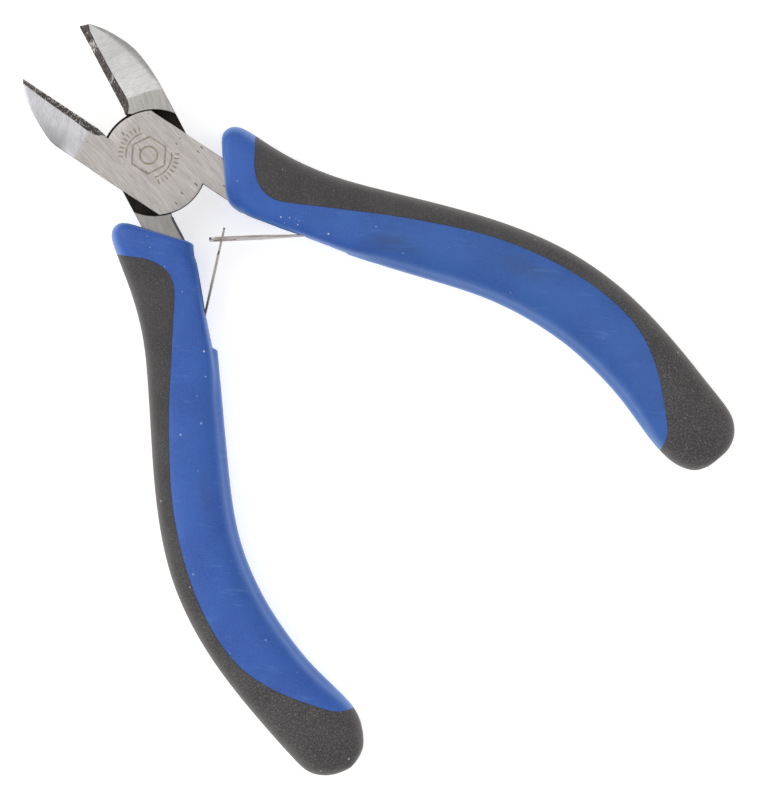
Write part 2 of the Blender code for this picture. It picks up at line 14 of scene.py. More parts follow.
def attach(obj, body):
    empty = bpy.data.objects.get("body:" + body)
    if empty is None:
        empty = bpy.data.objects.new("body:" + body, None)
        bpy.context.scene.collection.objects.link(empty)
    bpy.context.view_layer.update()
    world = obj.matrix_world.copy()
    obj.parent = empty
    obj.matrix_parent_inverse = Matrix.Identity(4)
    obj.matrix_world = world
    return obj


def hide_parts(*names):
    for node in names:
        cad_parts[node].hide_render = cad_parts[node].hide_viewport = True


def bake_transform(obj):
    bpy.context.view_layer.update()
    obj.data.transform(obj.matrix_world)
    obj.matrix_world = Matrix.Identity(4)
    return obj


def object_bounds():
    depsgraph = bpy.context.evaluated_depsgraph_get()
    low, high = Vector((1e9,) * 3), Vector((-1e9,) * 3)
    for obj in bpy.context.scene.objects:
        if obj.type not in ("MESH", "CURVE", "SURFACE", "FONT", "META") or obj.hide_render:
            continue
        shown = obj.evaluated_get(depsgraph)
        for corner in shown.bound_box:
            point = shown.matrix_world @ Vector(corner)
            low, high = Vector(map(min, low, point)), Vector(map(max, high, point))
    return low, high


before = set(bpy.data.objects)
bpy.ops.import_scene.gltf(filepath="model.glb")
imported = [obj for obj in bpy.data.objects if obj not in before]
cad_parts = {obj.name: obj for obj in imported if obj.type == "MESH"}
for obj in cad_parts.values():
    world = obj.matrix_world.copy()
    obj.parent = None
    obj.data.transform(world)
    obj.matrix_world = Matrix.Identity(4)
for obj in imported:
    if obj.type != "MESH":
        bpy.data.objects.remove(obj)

cad_lo, cad_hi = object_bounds()

# Lengths are in millimetres and angles in degrees unless a line says otherwise.
# Heights are counted from the lap joint until settle() moves them.
MM = 0.001
HEAD_HALF = 3.25                   # half the thickness of the head
LAP_Z = 0.03                       # gap from the joint plane to each lap face
LAP_R = {"front": 7.55, "back": 7.99}         # disc of each lever
SHOULDER_R = {"front": 8.11, "back": 7.68}    # shoulder that the other disc turns in
BAR_OUT, BAR_JAW = 6.0, 5.9        # half widths on the tang's side and the jaw's side
TANG_IN = 1.36                     # inner corner where the tang leaves the head
STUB_Y = -7.6
FRONT_BAR, BACK_BAR = 16.3, 12.0   # how far each lever's head is turned
EDGE_OFF, EDGE_Z = 0.40, -1.9      # cutting edge, from the lever's middle plane
TIP_Y, TIP_Z = 22.68, 0.5
BACK_SLOPE = 0.23
PIN_R, PIN_HEAD_R, PIN_SKIN = 2.2, 3.0, 0.8   # PIN_SKIN is left over the blind bore
HANDLE_X = 0.35                    # the middle line between the handles
SKIN, SHOT_GAP = 1.4, 0.03         # overmould thickness, and its gap to the core
TANG_W = (2.32, 2.15, 1.6)         # half widths from root to end
TANG_T = (2.1, 1.7)                # half thicknesses from root to end
TANG_STEPS = 40
FULL_TANG = 8.5                    # the tang keeps the head's height this far
LEAF_HALF_W, LEAF_LEN, LEAF_ANGLE, CROSS_Y = 2.5, 11.4, 52.5, -14.6
ROOT_LAND = 5.2                    # length of the spring's riveted end
STRIP_T = {"front": 0.34, "back": 0.28}
EASE, STRIP_EASE = 0.11, 0.06      # radii of the eased edges

# Grip stations: outer x, y, inner x, y, half height, squareness of the section.
# Each handle starts with its own collar and goes on with the shared stations.
COLLARS = {
    "front": [(9.30, -3.62, 4.34, -10.45, 4.45, 4.6), (10.2, -3.08, 4.22, -11.1, 4.75, 4.2),
              (11.5, -3.12, 4.2, -11.9, 4.90, 3.7), (12.5, -4.3, 4.42, -13.0, 4.95, 3.3),
              (13.2, -6.2, 4.95, -14.3, 4.95, 2.9)],
    "back": [(9.30, -3.75, 3.74, -12.2, 4.5, 5.6), (10.2, -3.2, 3.68, -12.6, 4.75, 4.8),
             (11.5, -3.3, 3.98, -13.1, 4.90, 4.0), (12.5, -4.4, 4.35, -13.8, 4.95, 3.4),
             (13.2, -6.2, 4.95, -14.6, 4.90, 2.9)],
}
STATIONS = [
    (14.15, -9.0, 6.15, -16.6, 4.75, 2.8),
    (15.7, -13.0, 7.95, -19.6, 4.60, 2.7),
    (18.45, -18.2, 10.1, -23.4, 4.50, 2.7),
    (21.95, -23.5, 13.2, -29.1, 4.60, 2.6),
    (25.6, -28.5, 16.45, -34.3, 4.75, 2.5),
    (29.1, -33.3, 19.75, -39.3, 4.90, 2.5),
    (32.55, -38.6, 23.0, -44.4, 5.00, 2.5),
    (35.75, -44.6, 25.45, -49.4, 5.05, 2.5),
    (38.15, -50.7, 27.25, -54.2, 5.05, 2.5),
    (39.75, -57.2, 28.5, -59.2, 5.00, 2.5),
    (40.45, -63.6, 29.05, -64.5, 5.00, 2.5),
    (40.6, -69.8, 29.1, -69.8, 5.05, 2.5),
    (40.45, -75.0, 28.75, -75.2, 5.00, 2.5),
    (40.2, -78.8, 28.85, -79.2, 4.80, 2.5),
    (39.55, -81.9, 29.6, -82.0, 4.30, 2.4),
    (38.1, -84.0, 31.0, -84.0, 3.30, 2.3),
    (36.2, -84.85, 32.9, -84.85, 2.30, 2.2),
]
# how far each handle's outer and inner edge stands off the stations, outwards positive
EDGE_SHIFT = {
    "front": [(0.38, -0.02), (0.14, 0.08), (0.0, 0.09), (0.09, 0.07), (0.12, 0.07), (0.0, 0.0),
              (-0.04, 0.10), (-0.08, 0.0), (0.0, -0.04), (0.0, 0.0), (-0.06, 0.0), (-0.06, 0.04),
              (0.0, 0.0), (0.0, 0.06), (-0.04, 0.06), (-0.05, -0.04), (-0.05, -0.14),
              (-0.02, -0.12), (0.14, 0.0), (0.33, 0.15), (0.28, 0.28), (0.55, 0.55)],
    "back": [(-0.05, 0.0), (-0.13, 0.0), (-0.25, 0.04), (-0.31, 0.06), (-0.28, 0.18),
             (-0.24, 0.24), (-0.30, 0.28), (-0.44, 0.22), (-0.38, 0.22), (-0.35, 0.20),
             (-0.32, 0.10), (-0.19, -0.02), (0.0, -0.30), (0.04, -0.31), (-0.04, -0.26),
             (-0.05, -0.34), (-0.05, -0.40), (0.02, -0.26), (0.12, -0.10), (0.2, -0.4),
             (-0.3, -0.6), (-0.4, -0.6)],
}


def moved(station, out, inn):
    """A station with its outer and inner edge moved outwards."""
    ox, oy, ix, iy, half, square = station
    width = math.hypot(ox - ix, oy - iy)
    ux, uy = (ox - ix) / width, (oy - iy) / width
    return (ox + ux * out, oy + uy * out, ix - ux * inn, iy - uy * inn, half, square)


SPAN = {side: [moved(station, *shift) for station, shift in zip(
    COLLARS[side] + STATIONS, EDGE_SHIFT[side])] for side in COLLARS}
# plan line (x, y) between a grip's two mouldings
PARTING = [(15.6, -4.6), (13.35, -6.4), (12.1, -7.75), (10.6, -9.4), (9.45, -11.3),
           (9.05, -13.0), (9.3, -14.7), (10.6, -16.7), (13.7, -20.0), (17.4, -24.0),
           (21.1, -28.0), (25.6, -33.4), (29.9, -39.2), (33.4, -45.4), (35.9, -51.5),
           (37.3, -57.0), (37.75, -62.0), (37.0, -66.6), (35.1, -71.2),
           (32.6, -75.5), (31.1, -77.5), (29.2, -78.6), (26.5, -79.3)]
# rib on the grip's inner side, its ends counted in stations
RIB_FROM = {"front": 7.74, "back": 7.40}
RIB_TO, RIB_H, RIB_HALF = 17.6, 0.36, 1.45
# how far the rib stands out beyond the stations: place along the handle, height
RIB_LIP = {"front": ((7.74, 8.6), (0.14, 0.0)),
           "back": ((7.40, 8.0, 8.5, 9.2), (0.70, 0.27, 0.10, 0.0))}
# outer side of each jaw: distance from the lever's middle plane, distance along the bar
JAW_BACK = {
    "front": [(5.9, 6.2), (5.9, 8.5), (5.9, 10.6), (5.9, 12.6), (5.86, 13.75), (5.42, 15.25),
              (4.5, 17.3), (3.32, 19.5), (2.04, 21.2), (1.12, 22.15)],
    "back": [(5.97, 6.2), (6.0, 8.5), (5.98, 10.6), (5.83, 12.6), (5.44, 14.9), (4.83, 16.86),
             (4.0, 18.45), (2.65, 20.55), (1.15, 22.2)],
}
# width of the ground bevel in plan, by distance along the bar
BEVEL_Y = (8.0, 8.4, 8.9, 9.5, 10.2, 11.2, 12.9, 15.5, 19.0, 21.2, 22.3, 23.0)
BEVEL_W = {"front": (0.25, 0.50, 0.84, 1.06, 1.15, 1.12, 0.98, 0.93, 0.80, 0.66, 0.56, 0.5),
           "back": (0.28, 0.62, 0.96, 1.16, 1.24, 1.2, 1.1, 1.04, 1.03, 1.1, 1.36, 1.5)}


# ---------------------------------------------------------------- curves and frames
def natural_curve(points, at, knots=None):
    """Natural cubic spline through the points, read at the given knot values."""
    points = np.array(points, float)
    count = len(points)
    knots = np.arange(count, dtype=float) if knots is None else np.array(knots, float)
    gap = np.diff(knots)
    system = np.zeros((count, count))
    right = np.zeros((count, points.shape[1]))
    system[0, 0] = system[-1, -1] = 1.0
    for i in range(1, count - 1):
        system[i, i - 1:i + 2] = (gap[i - 1], 2 * (gap[i - 1] + gap[i]), gap[i])
        right[i] = 6.0 * ((points[i + 1] - points[i]) / gap[i]
                          - (points[i] - points[i - 1]) / gap[i - 1])
    bend = np.linalg.solve(system, right)
    out = []
    for t in at:
        j = int(min(max(np.searchsorted(knots, t, side='right') - 1, 0), count - 2))
        u = (t - knots[j]) / gap[j]
        v = 1.0 - u
        out.append((bend[j] * (v ** 3 - v) + bend[j + 1] * (u ** 3 - u)) * gap[j] ** 2 / 6
                   + points[j] * v + points[j + 1] * u)
    return np.array(out)


def chords(points):
    """Running length along a line of points."""
    steps = np.diff(np.array(points, float), axis=0)
    return np.concatenate([[0.0], np.cumsum(np.linalg.norm(steps, axis=1))])


def unit(vector):
    return vector / np.linalg.norm(vector)


def unit_rows(vectors):
    return vectors / np.linalg.norm(vectors, axis=1)[:, None]


def left_of(vectors):
    return np.stack([-vectors[:, 1], vectors[:, 0]], axis=1)


def following(loop):
    """The next point of a closed loop, for each of its points."""
    return np.roll(loop, -1, axis=0)


def inward(loop):
    return left_of(unit_rows(following(loop) - np.roll(loop, 1, axis=0)))


def rotate(x, y, degrees):
    c, s = math.cos(math.radians(degrees)), math.sin(math.radians(degrees))
    return x * c - y * s, x * s + y * c


def arc(radius, start, end, steps):
    angles = np.radians(np.linspace(start, end, steps + 1))
    return [(radius * math.cos(a), radius * math.sin(a)) for a in angles]


def stretch(points, step):
    """The same open line with no gap longer than step."""
    out = [tuple(points[0])]
    for a, b in zip(points, points[1:]):
        n = max(1, int(math.ceil(math.hypot(b[0] - a[0], b[1] - a[1]) / step)))
        out += [(a[0] + (b[0] - a[0]) * i / n, a[1] + (b[1] - a[1]) * i / n)
                for i in range(1, n + 1)]
    return out


def smoothstep(x):
    x = np.clip(x, 0.0, 1.0)
    return x * x * (3 - 2 * x)


def head_to_world(side, x, y):
    if side == "front":
        return rotate(x, y, FRONT_BAR)
    return rotate(-x, y, -BACK_BAR)


def world_to_head(side, x, y):
    if side == "front":
        return rotate(x, y, -FRONT_BAR)
    x, y = rotate(x, y, BACK_BAR)
    return -x, y


def handle_to_world(side, x, y):
    return (HANDLE_X + x, y) if side == "front" else (HANDLE_X - x, y)


# ---------------------------------------------------------------- mesh tools
def new_object(name, bm):
    bmesh.ops.recalc_face_normals(bm, faces=bm.faces[:])
    if bm.calc_volume(signed=True) < 0:
        bmesh.ops.reverse_faces(bm, faces=bm.faces[:])
    mesh = bpy.data.meshes.new(name)
    bm.to_mesh(mesh)
    bm.free()
    ob = bpy.data.objects.new(name, mesh)
    bpy.context.scene.collection.objects.link(ob)
    return ob


def loft(name, rings, split=False):
    """Closed solid through rings of points; split makes its sides of triangles."""
    bm = bmesh.new()
    rows = [[bm.verts.new((x * MM, y * MM, z * MM)) for x, y, z in ring] for ring in rings]
    for a, b in zip(rows, rows[1:]):
        for i in range(len(a)):
            j = (i + 1) % len(a)
            if split:
                bm.faces.new((a[i], a[j], b[j]))
                bm.faces.new((a[i], b[j], b[i]))
            else:
                bm.faces.new((a[i], a[j], b[j], b[i]))
    bm.faces.new(rows[0])
    bm.faces.new(rows[-1][::-1])
    return new_object(name, bm)


def prism(name, outline, z0, z1):
    return loft(name, [[(x, y, z) for x, y in outline] for z in (z0, z1)])


def turned(name, profile, steps=96):
    """Solid of revolution round the Z axis, from a profile of (radius, z)."""
    return loft(name, [[(r * math.cos(2 * math.pi * i / steps),
                         r * math.sin(2 * math.pi * i / steps), z) for i in range(steps)]
                       for r, z in profile])


def combine(target, other, operation):
    """Apply a boolean to target and remove the other object."""
    mod = target.modifiers.new("cut", 'BOOLEAN')
    mod.operation = operation
    mod.solver = 'EXACT'
    mod.object = other
    deps = bpy.context.evaluated_depsgraph_get()
    deps.update()
    mesh = bpy.data.meshes.new_from_object(target.evaluated_get(deps))
    old, used = target.data, other.data
    target.modifiers.clear()
    target.data = mesh
    bpy.data.meshes.remove(old)
    bpy.data.objects.remove(other, do_unlink=True)
    bpy.data.meshes.remove(used)


def tidy(ob, angle):
    """Merge doubles, triangulate large faces and shade smooth below the angle."""
    bm = bmesh.new()
    bm.from_mesh(ob.data)
    bmesh.ops.remove_doubles(bm, verts=bm.verts[:], dist=0.0000005)
    big = [f for f in bm.faces if len(f.verts) > 4]
    if big:
        bmesh.ops.triangulate(bm, faces=big)
    bm.to_mesh(ob.data)
    bm.free()
    ob.data.shade_smooth()
    ob.data.set_sharp_from_angle(angle=math.radians(angle))


def inside(points, loop):
    """Even-odd test of points against a closed loop."""
    x, y = points[:, 0][:, None], points[:, 1][:, None]
    a, b = loop, following(loop)
    cross = (a[:, 1] > y) != (b[:, 1] > y)
    # level segments divide by zero, but never count as crossed
    with np.errstate(divide='ignore', invalid='ignore'):
        xi = a[:, 0] + (y - a[:, 1]) / (b[:, 1] - a[:, 1]) * (b[:, 0] - a[:, 0])
    return (np.sum(cross & (x < xi), axis=1) % 2) == 1


def line_distance(points, a, b):
    """Distance from each point to the nearest of the segments a-b."""
    best = np.full(len(points), 1e9)
    d = b - a
    dd = np.maximum((d * d).sum(axis=1), 1e-12)
    for i in range(0, len(points), 400):
        q = points[i:i + 400, None, :]
        t = np.clip(((q - a) * d).sum(axis=2) / dd, 0, 1)
        best[i:i + 400] = np.linalg.norm(q - (a + t[..., None] * d), axis=2).min(axis=1)
    return best


class Slab:
    """Closed plate between two height fields over one plan, with eased edges.

    loops: closed plan loops, the first one the outline. sharp: for each loop, True where
    a point belongs to an edge that isn't eased."""

    def __init__(self, loops, sharp, ease):
        self.loops, self.sharp, self.ease = [], [], ease
        for i, (loop, flags) in enumerate(zip(loops, sharp)):
            loop, flags = np.array(loop, float), np.array(flags, bool)
            area = np.sum(loop[:, 0] * np.roll(loop[:, 1], -1)
                          - loop[:, 1] * np.roll(loop[:, 0], -1))
            if (area < 0) == (i == 0):
                loop, flags = loop[::-1], flags[::-1]
            self.loops.append(loop)
            self.sharp.append(flags)
        soft = [~(flags | np.roll(flags, -1)) for flags in self.sharp]
        self.starts = np.concatenate([p[s] for p, s in zip(self.loops, soft)])
        self.ends = np.concatenate([following(p)[s] for p, s in zip(self.loops, soft)])

    def eased(self, points):
        """How far the surface drops at each point, near an eased edge."""
        d = np.minimum(line_distance(points, self.starts, self.ends), self.ease)
        return self.ease - np.sqrt(np.maximum(self.ease ** 2 - (self.ease - d) ** 2, 0))

    def within(self, points):
        keep = inside(points, self.loops[0])
        for hole in self.loops[1:]:
            keep &= ~inside(points, hole)
        return keep

    def sheet(self, creases, fill):
        """Triangulated plan: points, triangles and the indices of the loops' points."""
        pts, edges = [], []
        for loop in self.loops:
            k = len(pts)
            pts += [tuple(q) for q in loop]
            edges += [(k + i, k + (i + 1) % len(loop)) for i in range(len(loop))]
        fixed = len(pts)
        for loop, flags in zip(self.loops, self.sharp):
            normal = inward(loop)
            for d in (0.293 * self.ease, self.ease):
                k = len(pts)
                pts += [tuple(q) for q in loop + normal * d]
                edges += [(k + i, k + (i + 1) % len(loop)) for i in range(len(loop))
                          if not (flags[i] or flags[(i + 1) % len(loop)])]
        for line in creases:
            line = np.array(line, float)
            far = np.ones(len(line), bool)
            for loop in self.loops:
                far &= line_distance(line, loop, following(loop)) > 0.03
            line = line[far & inside(line, self.loops[0])]
            k = len(pts)
            pts += [tuple(q) for q in line]
            edges += [(k + i, k + i + 1) for i in range(len(line) - 1)]
        seg = np.array([(pts[a], pts[b]) for a, b in edges], float)
        fill = np.array(fill, float)
        fill = fill[self.within(fill)]
        fill = fill[line_distance(fill, seg[:, 0], seg[:, 1]) > 0.12]
        pts += [tuple(q) for q in fill]
        out = delaunay_2d_cdt([Vector(p) for p in pts], edges, [], 1, 1e-5)
        xy = np.array([(v.x, v.y) for v in out[0]])
        tri = np.array(out[2])
        where = {}
        for j, sources in enumerate(out[3]):
            for source in sources:
                where[source] = j
        return xy, tri[self.within(xy[tri].mean(axis=1))], [where[i] for i in range(fixed)]

    def build(self, name, top, bottom, place, fill_top, fill_bottom, creases=(), bulge=None):
        """creases: lines of the top. bulge: how far a loop's wall stands out halfway down."""
        bm = bmesh.new()
        marks, heights = [], []
        for sign, height, lines, fill in ((1, top, creases, fill_top),
                                          (-1, bottom, (), fill_bottom)):
            xy, tri, fixed = self.sheet(lines, fill)
            z = height(xy[:, 0], xy[:, 1]) - sign * self.eased(xy)
            verts = {}
            for i in set(tri.ravel()) | set(fixed):
                verts[i] = bm.verts.new([c * MM for c in place(xy[i, 0], xy[i, 1], z[i])])
            for t in tri:
                bm.faces.new([verts[i] for i in t])
            marks.append([verts[i] for i in fixed])
            heights.append([z[i] for i in fixed])
        k = 0
        for loop, flags in zip(self.loops, self.sharp):
            normal = inward(loop)
            m = len(loop)
            rows = [marks[0][k:k + m], marks[1][k:k + m]]
            if bulge is not None:
                out = bulge(loop)
                mids = []
                for i in range(m):
                    middle = 0.5 * (heights[0][k + i] + heights[1][k + i])
                    q = loop[i] - normal[i] * (0 if flags[i] else out[i])
                    mids.append(bm.verts.new([c * MM for c in place(q[0], q[1], middle)]))
                rows.insert(1, mids)
            for i in range(m):
                j = (i + 1) % m
                for a, b in zip(rows, rows[1:]):
                    bm.faces.new((a[i], a[j], b[j], b[i]))
            k += m
        return new_object(name, bm)


# ---------------------------------------------------------------- lever surfaces
def edge_x(side):
    return -EDGE_OFF if side == "front" else EDGE_OFF


def taper_start(side, x):
    """Distance along the bar at which the ground taper of the jaw begins."""
    if side == "front":
        return 10.36 + (np.asarray(x) + 1.85) * 0.126
    return np.interp(-np.asarray(x), (1.06, 2.91, 4.38, 5.97), (9.91, 9.73, 9.44, 8.9))


def face_height(side, x, y):
    """Ground upper face of the head and jaw, before the bevel."""
    x, y = np.asarray(x, float), np.asarray(y, float)
    run = np.maximum(y - taper_start(side, x), 0.0)
    h = HEAD_HALF - (HEAD_HALF - TIP_Z) / (TIP_Y - 10.0) * run
    bow = 0.020 if side == "front" else 0.007
    h -= bow * np.maximum(-x - 2.0, 0.0) ** 2 * smoothstep(run / 3.0)
    if side == "back":
        h -= 0.42 * np.maximum(-x - crescent(y), 0.0) * smoothstep((y - 9.9) / 1.6)
    return h


def crescent(y):
    """Inner line of the second, outer facet of the back lever's jaw."""
    return np.interp(y, (9.8, 10.4, 11.63, 13.7, 15.65, 17.46, 19.87, 21.31, 22.6),
                     (5.72, 5.62, 5.44, 4.91, 4.32, 3.65, 2.49, 1.63, 0.8))


def bevel_depth(y):
    """0 where the ground bevel starts at the jaw's root, 1 where it is at full depth."""
    return smoothstep((np.asarray(y) - 7.95) / 1.5)


def lever_top(side):
    ex = edge_x(side)

    def height(x, y):
        h = face_height(side, x, y)
        w = np.interp(y, BEVEL_Y, BEVEL_W[side])
        at_line = face_height(side, ex - w, y)
        low = at_line - (at_line - EDGE_Z - 0.02) * bevel_depth(y)
        k = np.clip((ex - x) / w, 0.0, 1.0)
        ground = low + (at_line - low) * k
        return np.where((x > ex - w) & (y > 7.95), np.minimum(ground, h), h)
    return height


def lever_bottom(side):
    ex = edge_x(side)

    def height(x, y):
        z = np.maximum(EDGE_Z - np.maximum(ex - x, 0.0) * BACK_SLOPE, -HEAD_HALF)
        g = smoothstep((y - 8.3) / 1.6)
        return -HEAD_HALF * (1 - g) + z * g
    return height


def tang_path(side):
    """Plan points along the middle of a tang, from the head into the grip."""
    pts = [head_to_world(side, 3.68, y) for y in (-5.5, -7.2, -8.9, -10.2, -11.3)]
    leans = (0.55, 0.3, 0.1) + (0.0,) * 7
    for (ox, oy, ix, iy, _, _), lean in zip(STATIONS[1:], leans):
        pts.append(handle_to_world(side, (ox + ix) / 2 - lean, (oy + iy) / 2))
    return pts


def tang_half_width(t, total):
    return np.interp(t, (0, 6.5, 19.5, total), (TANG_W[0], TANG_W[0], TANG_W[1], TANG_W[2]))


def tang_line(side, at):
    """Points and directions at distances along the tang, and its whole length."""
    pts = tang_path(side)
    knots = chords(pts)
    line = natural_curve(pts, at, knots)
    ahead = natural_curve(pts, [t + 0.01 for t in at], knots)
    return line, unit_rows(ahead - line), knots[-1]


def tang_sections(side, grow, start):
    """Rings of the tang itself, or with grow those of its channel in the grip."""
    total = chords(tang_path(side))[-1]
    at = sorted([start + i * (total - start) / TANG_STEPS for i in range(TANG_STEPS + 1)]
                + [FULL_TANG, FULL_TANG + 0.3])
    line, tangent, total = tang_line(side, at)
    rings = []
    for t, p, d in zip(at, line, tangent):
        w = tang_half_width(t, total) + grow
        if grow:
            h = np.interp(t, (0, FULL_TANG, FULL_TANG + 0.3, total),
                          (HEAD_HALF, HEAD_HALF, TANG_T[0], TANG_T[1])) + grow
        else:
            w -= 0.04
            h = np.interp(t, (0, total), TANG_T)
        n = np.array((-d[1], d[0])) * w
        rings.append([(p[0] + n[0], p[1] + n[1], h), (p[0] - n[0], p[1] - n[1], h),
                      (p[0] - n[0], p[1] - n[1], -h), (p[0] + n[0], p[1] + n[1], -h)])
    if grow:
        d = unit(line[-1] - line[-2]) * 0.2
        rings[-1] = [(x + d[0], y + d[1], z) for x, y, z in rings[-1]]
    return rings


def tang_draft(side, y):
    """How far the inner wall of the back lever's tang leans out below its upper face."""
    return (0.32 if side == "back" else 0.0) * smoothstep((-7.72 - np.asarray(y)) / 0.5)


def lever_plan(side):
    """Plan outline of a lever's full-height part, and which of its points are on the
    cutting edge."""
    ex = edge_x(side)
    disc = LAP_R["front"]
    tang_angle = math.degrees(math.acos(BAR_OUT / disc))
    jaw_angle = math.degrees(math.acos(BAR_JAW / disc))
    notch = 96.0 if side == "front" else 93.0
    root = (disc * math.cos(math.radians(notch)), disc + 0.18)
    root_in = ((0.0, 0.02, 0.08) if side == "back" else (-0.05, -0.15, -0.25))
    edge = stretch([(ex - 0.06, TIP_Y), (ex, TIP_Y - 0.1), (ex, 9.8), (ex + root_in[0], 9.25),
                    (ex + root_in[1], 8.7), (ex + root_in[2], 8.15)], 0.2)
    line, d, total = tang_line(side, np.arange(2.1, FULL_TANG + 0.01, 0.4))
    at = np.arange(2.1, FULL_TANG + 0.01, 0.4)
    reach = left_of(d) * tang_half_width(at, total)[:, None]
    left = [world_to_head(side, *q) for q in line + reach]
    right = [world_to_head(side, *q) for q in line - reach]
    outer, inner = (left, right) if left[0][0] > right[0][0] else (right, left)
    inner = [(x + tang_draft(side, y), y) for x, y in inner]
    rest = [edge[-1], root]
    rest += arc(disc, notch, tang_angle, 60)
    rest += [(BAR_OUT, y) for y in (2.0, -2.0, STUB_Y)]
    rest += outer[1:]
    rest += inner[::-1][:-1]
    rest += [(TANG_IN, STUB_Y)]
    rest += arc(disc, -79.8, -180.0 + jaw_angle, 60)
    jaw = JAW_BACK[side]
    back = natural_curve(jaw, np.linspace(0, len(jaw) - 1, 90), chords(jaw) * (len(jaw) - 1)
                         / chords(jaw)[-1])
    rest += [(-x, y) for x, y in back]
    rest += [(ex - 0.06, TIP_Y)]
    rest = stretch(rest, 0.25)[1:-1]
    return np.array(edge + rest), np.array([True] * len(edge) + [False] * len(rest))


def lever_draft(side):
    def out(loop):
        x, y = loop[:, 0], loop[:, 1]
        base = 0.04 * smoothstep((7.6 - y) / 0.4)
        inner = tang_draft(side, y) * (x < 3.68)
        return np.where(inner > 0, inner, base)
    return out


def make_lever(side):
    front = side == "front"
    ex = edge_x(side)
    plan, sharp = lever_plan(side)
    slab = Slab([plan], [sharp], EASE)
    ys = np.linspace(8.05, TIP_Y - 0.02, 110)
    creases = [[(ex - w, y) for y, w in zip(ys, np.interp(ys, BEVEL_Y, BEVEL_W[side]))]]
    xs = np.linspace(-1.5, -5.85, 40)
    creases.append([(x, float(y)) for x, y in zip(xs, taper_start(side, xs))])
    if not front:
        ys = np.linspace(10.2, 21.9, 90)
        creases.append([(-x, y) for x, y in zip(crescent(ys), ys)])
    fill = [(x, y) for x in np.arange(-5.8, 0.4, 0.36) for y in np.arange(8.2, 22.6, 0.36)]
    fill += [(x, y) for x in np.arange(-5.5, 6.0, 1.6) for y in np.arange(-7.0, 8.0, 1.6)]
    fill_low = [(x, y) for x in np.arange(-5.8, 0.4, 0.6) for y in np.arange(8.0, 22.6, 0.4)]

    def place(x, y, z):
        return (*head_to_world(side, x, y), z)

    body = slab.build(side + "_lever_body", lever_top(side), lever_bottom(side), place,
                      fill, fill_low, creases, lever_draft(side))
    combine(body, loft("tang", tang_sections(side, 0.0, FULL_TANG - 0.7), True), 'UNION')
    # half the head is cut away for the other lever's disc
    lap = 1.0 if front else -1.0
    r = SHOULDER_R[side]
    combine(body, turned("lap", [(r, lap * LAP_Z), (r, -lap * (HEAD_HALF - 0.08)),
                                 (r + 0.14, -lap * (HEAD_HALF + 0.06)),
                                 (r + 0.14, -lap * 5.0)], 256),
            'DIFFERENCE')
    if front:
        bore = turned("bore", [(PIN_R + 0.02, -1.0), (PIN_R + 0.02, HEAD_HALF - PIN_SKIN)])
    else:
        # rim of the lower disc, a little wider than the disc above it
        end = math.degrees(math.acos(BAR_OUT / LAP_R["back"])) + 1.0
        rim = arc(LAP_R["back"], 92.5, end, 40) + arc(6.9, end, 92.5, 30)
        combine(body, prism("rim", [head_to_world(side, *q) for q in rim], -3.12, -0.06),
                'UNION')
        bore = turned("bore", [(PIN_HEAD_R + 0.14, -4.0), (PIN_HEAD_R + 0.06, -HEAD_HALF + 0.06),
                               (PIN_HEAD_R + 0.06, -3.0),
                               (PIN_R + 0.06, -2.15), (PIN_R + 0.06, 1.0)], 128)
    combine(body, bore, 'DIFFERENCE')
    tidy(body, 24.0)
    return body


def make_pivot():
    top = HEAD_HALF - PIN_SKIN - 0.1
    dome = [(PIN_HEAD_R * math.sin(a), -HEAD_HALF + 0.02 + 0.10 * (1 - math.cos(a)) * 1.6)
            for a in np.linspace(0.02, math.pi / 2, 12)]
    profile = [(0.35, -HEAD_HALF + 0.12), (0.5, -HEAD_HALF + 0.06)]
    profile += [p for p in dome if p[0] > 0.6]
    profile += [(PIN_HEAD_R, -3.02), (PIN_R, -2.25), (PIN_R, top - 0.2), (PIN_R - 0.2, top)]
    pin = turned("pivot_rivet_peened", profile)
    tidy(pin, 30.0)
    return pin


# ---------------------------------------------------------------- leaf springs
def leaf_frame():
    """Hinge point of a spring and the direction of its free part, in handle coordinates."""
    a = math.radians(LEAF_ANGLE)
    hinge = (LEAF_LEN * math.sin(a), CROSS_Y - LEAF_LEN * math.cos(a))
    return hinge, (-math.sin(a), math.cos(a))


def tang_face(side):
    """A point and the direction of the tang's inner face under the spring's root."""
    at = (20.5, 22.5, 24.5)
    line, _, total = tang_line(side, at)
    sign = 1.0 if side == "front" else -1.0
    face = []
    for t, p, d in zip(at, line, np.gradient(line, axis=0)):
        d = unit(d)
        q = p + np.array((d[1], -d[0])) * sign * tang_half_width(t, total)
        face.append(((q[0] - HANDLE_X) * sign, q[1]))
    return np.array(face[1]), unit(np.array(face[2]) - np.array(face[0]))


def root_line(side):
    """Hinge, knee, direction of the root and the way inwards from the tang."""
    hinge, free = leaf_frame()
    face, d = tang_face(side)
    inwards = np.array((d[1], -d[0]))
    if inwards[0] > 0:
        inwards = -inwards
    base = face + inwards * (0.175 + 0.02)
    hinge = np.array(hinge)
    back = -np.array(free)
    m = np.array([[back[0], -d[0]], [back[1], -d[1]]])
    s, _ = np.linalg.solve(m, base - hinge)
    return hinge, hinge + back * s, d, inwards


def quadratic(a, corner, b, t):
    """Point at t of the quadratic Bezier curve from a to b."""
    return (1 - t) ** 2 * a + 2 * t * (1 - t) * corner + t * t * b


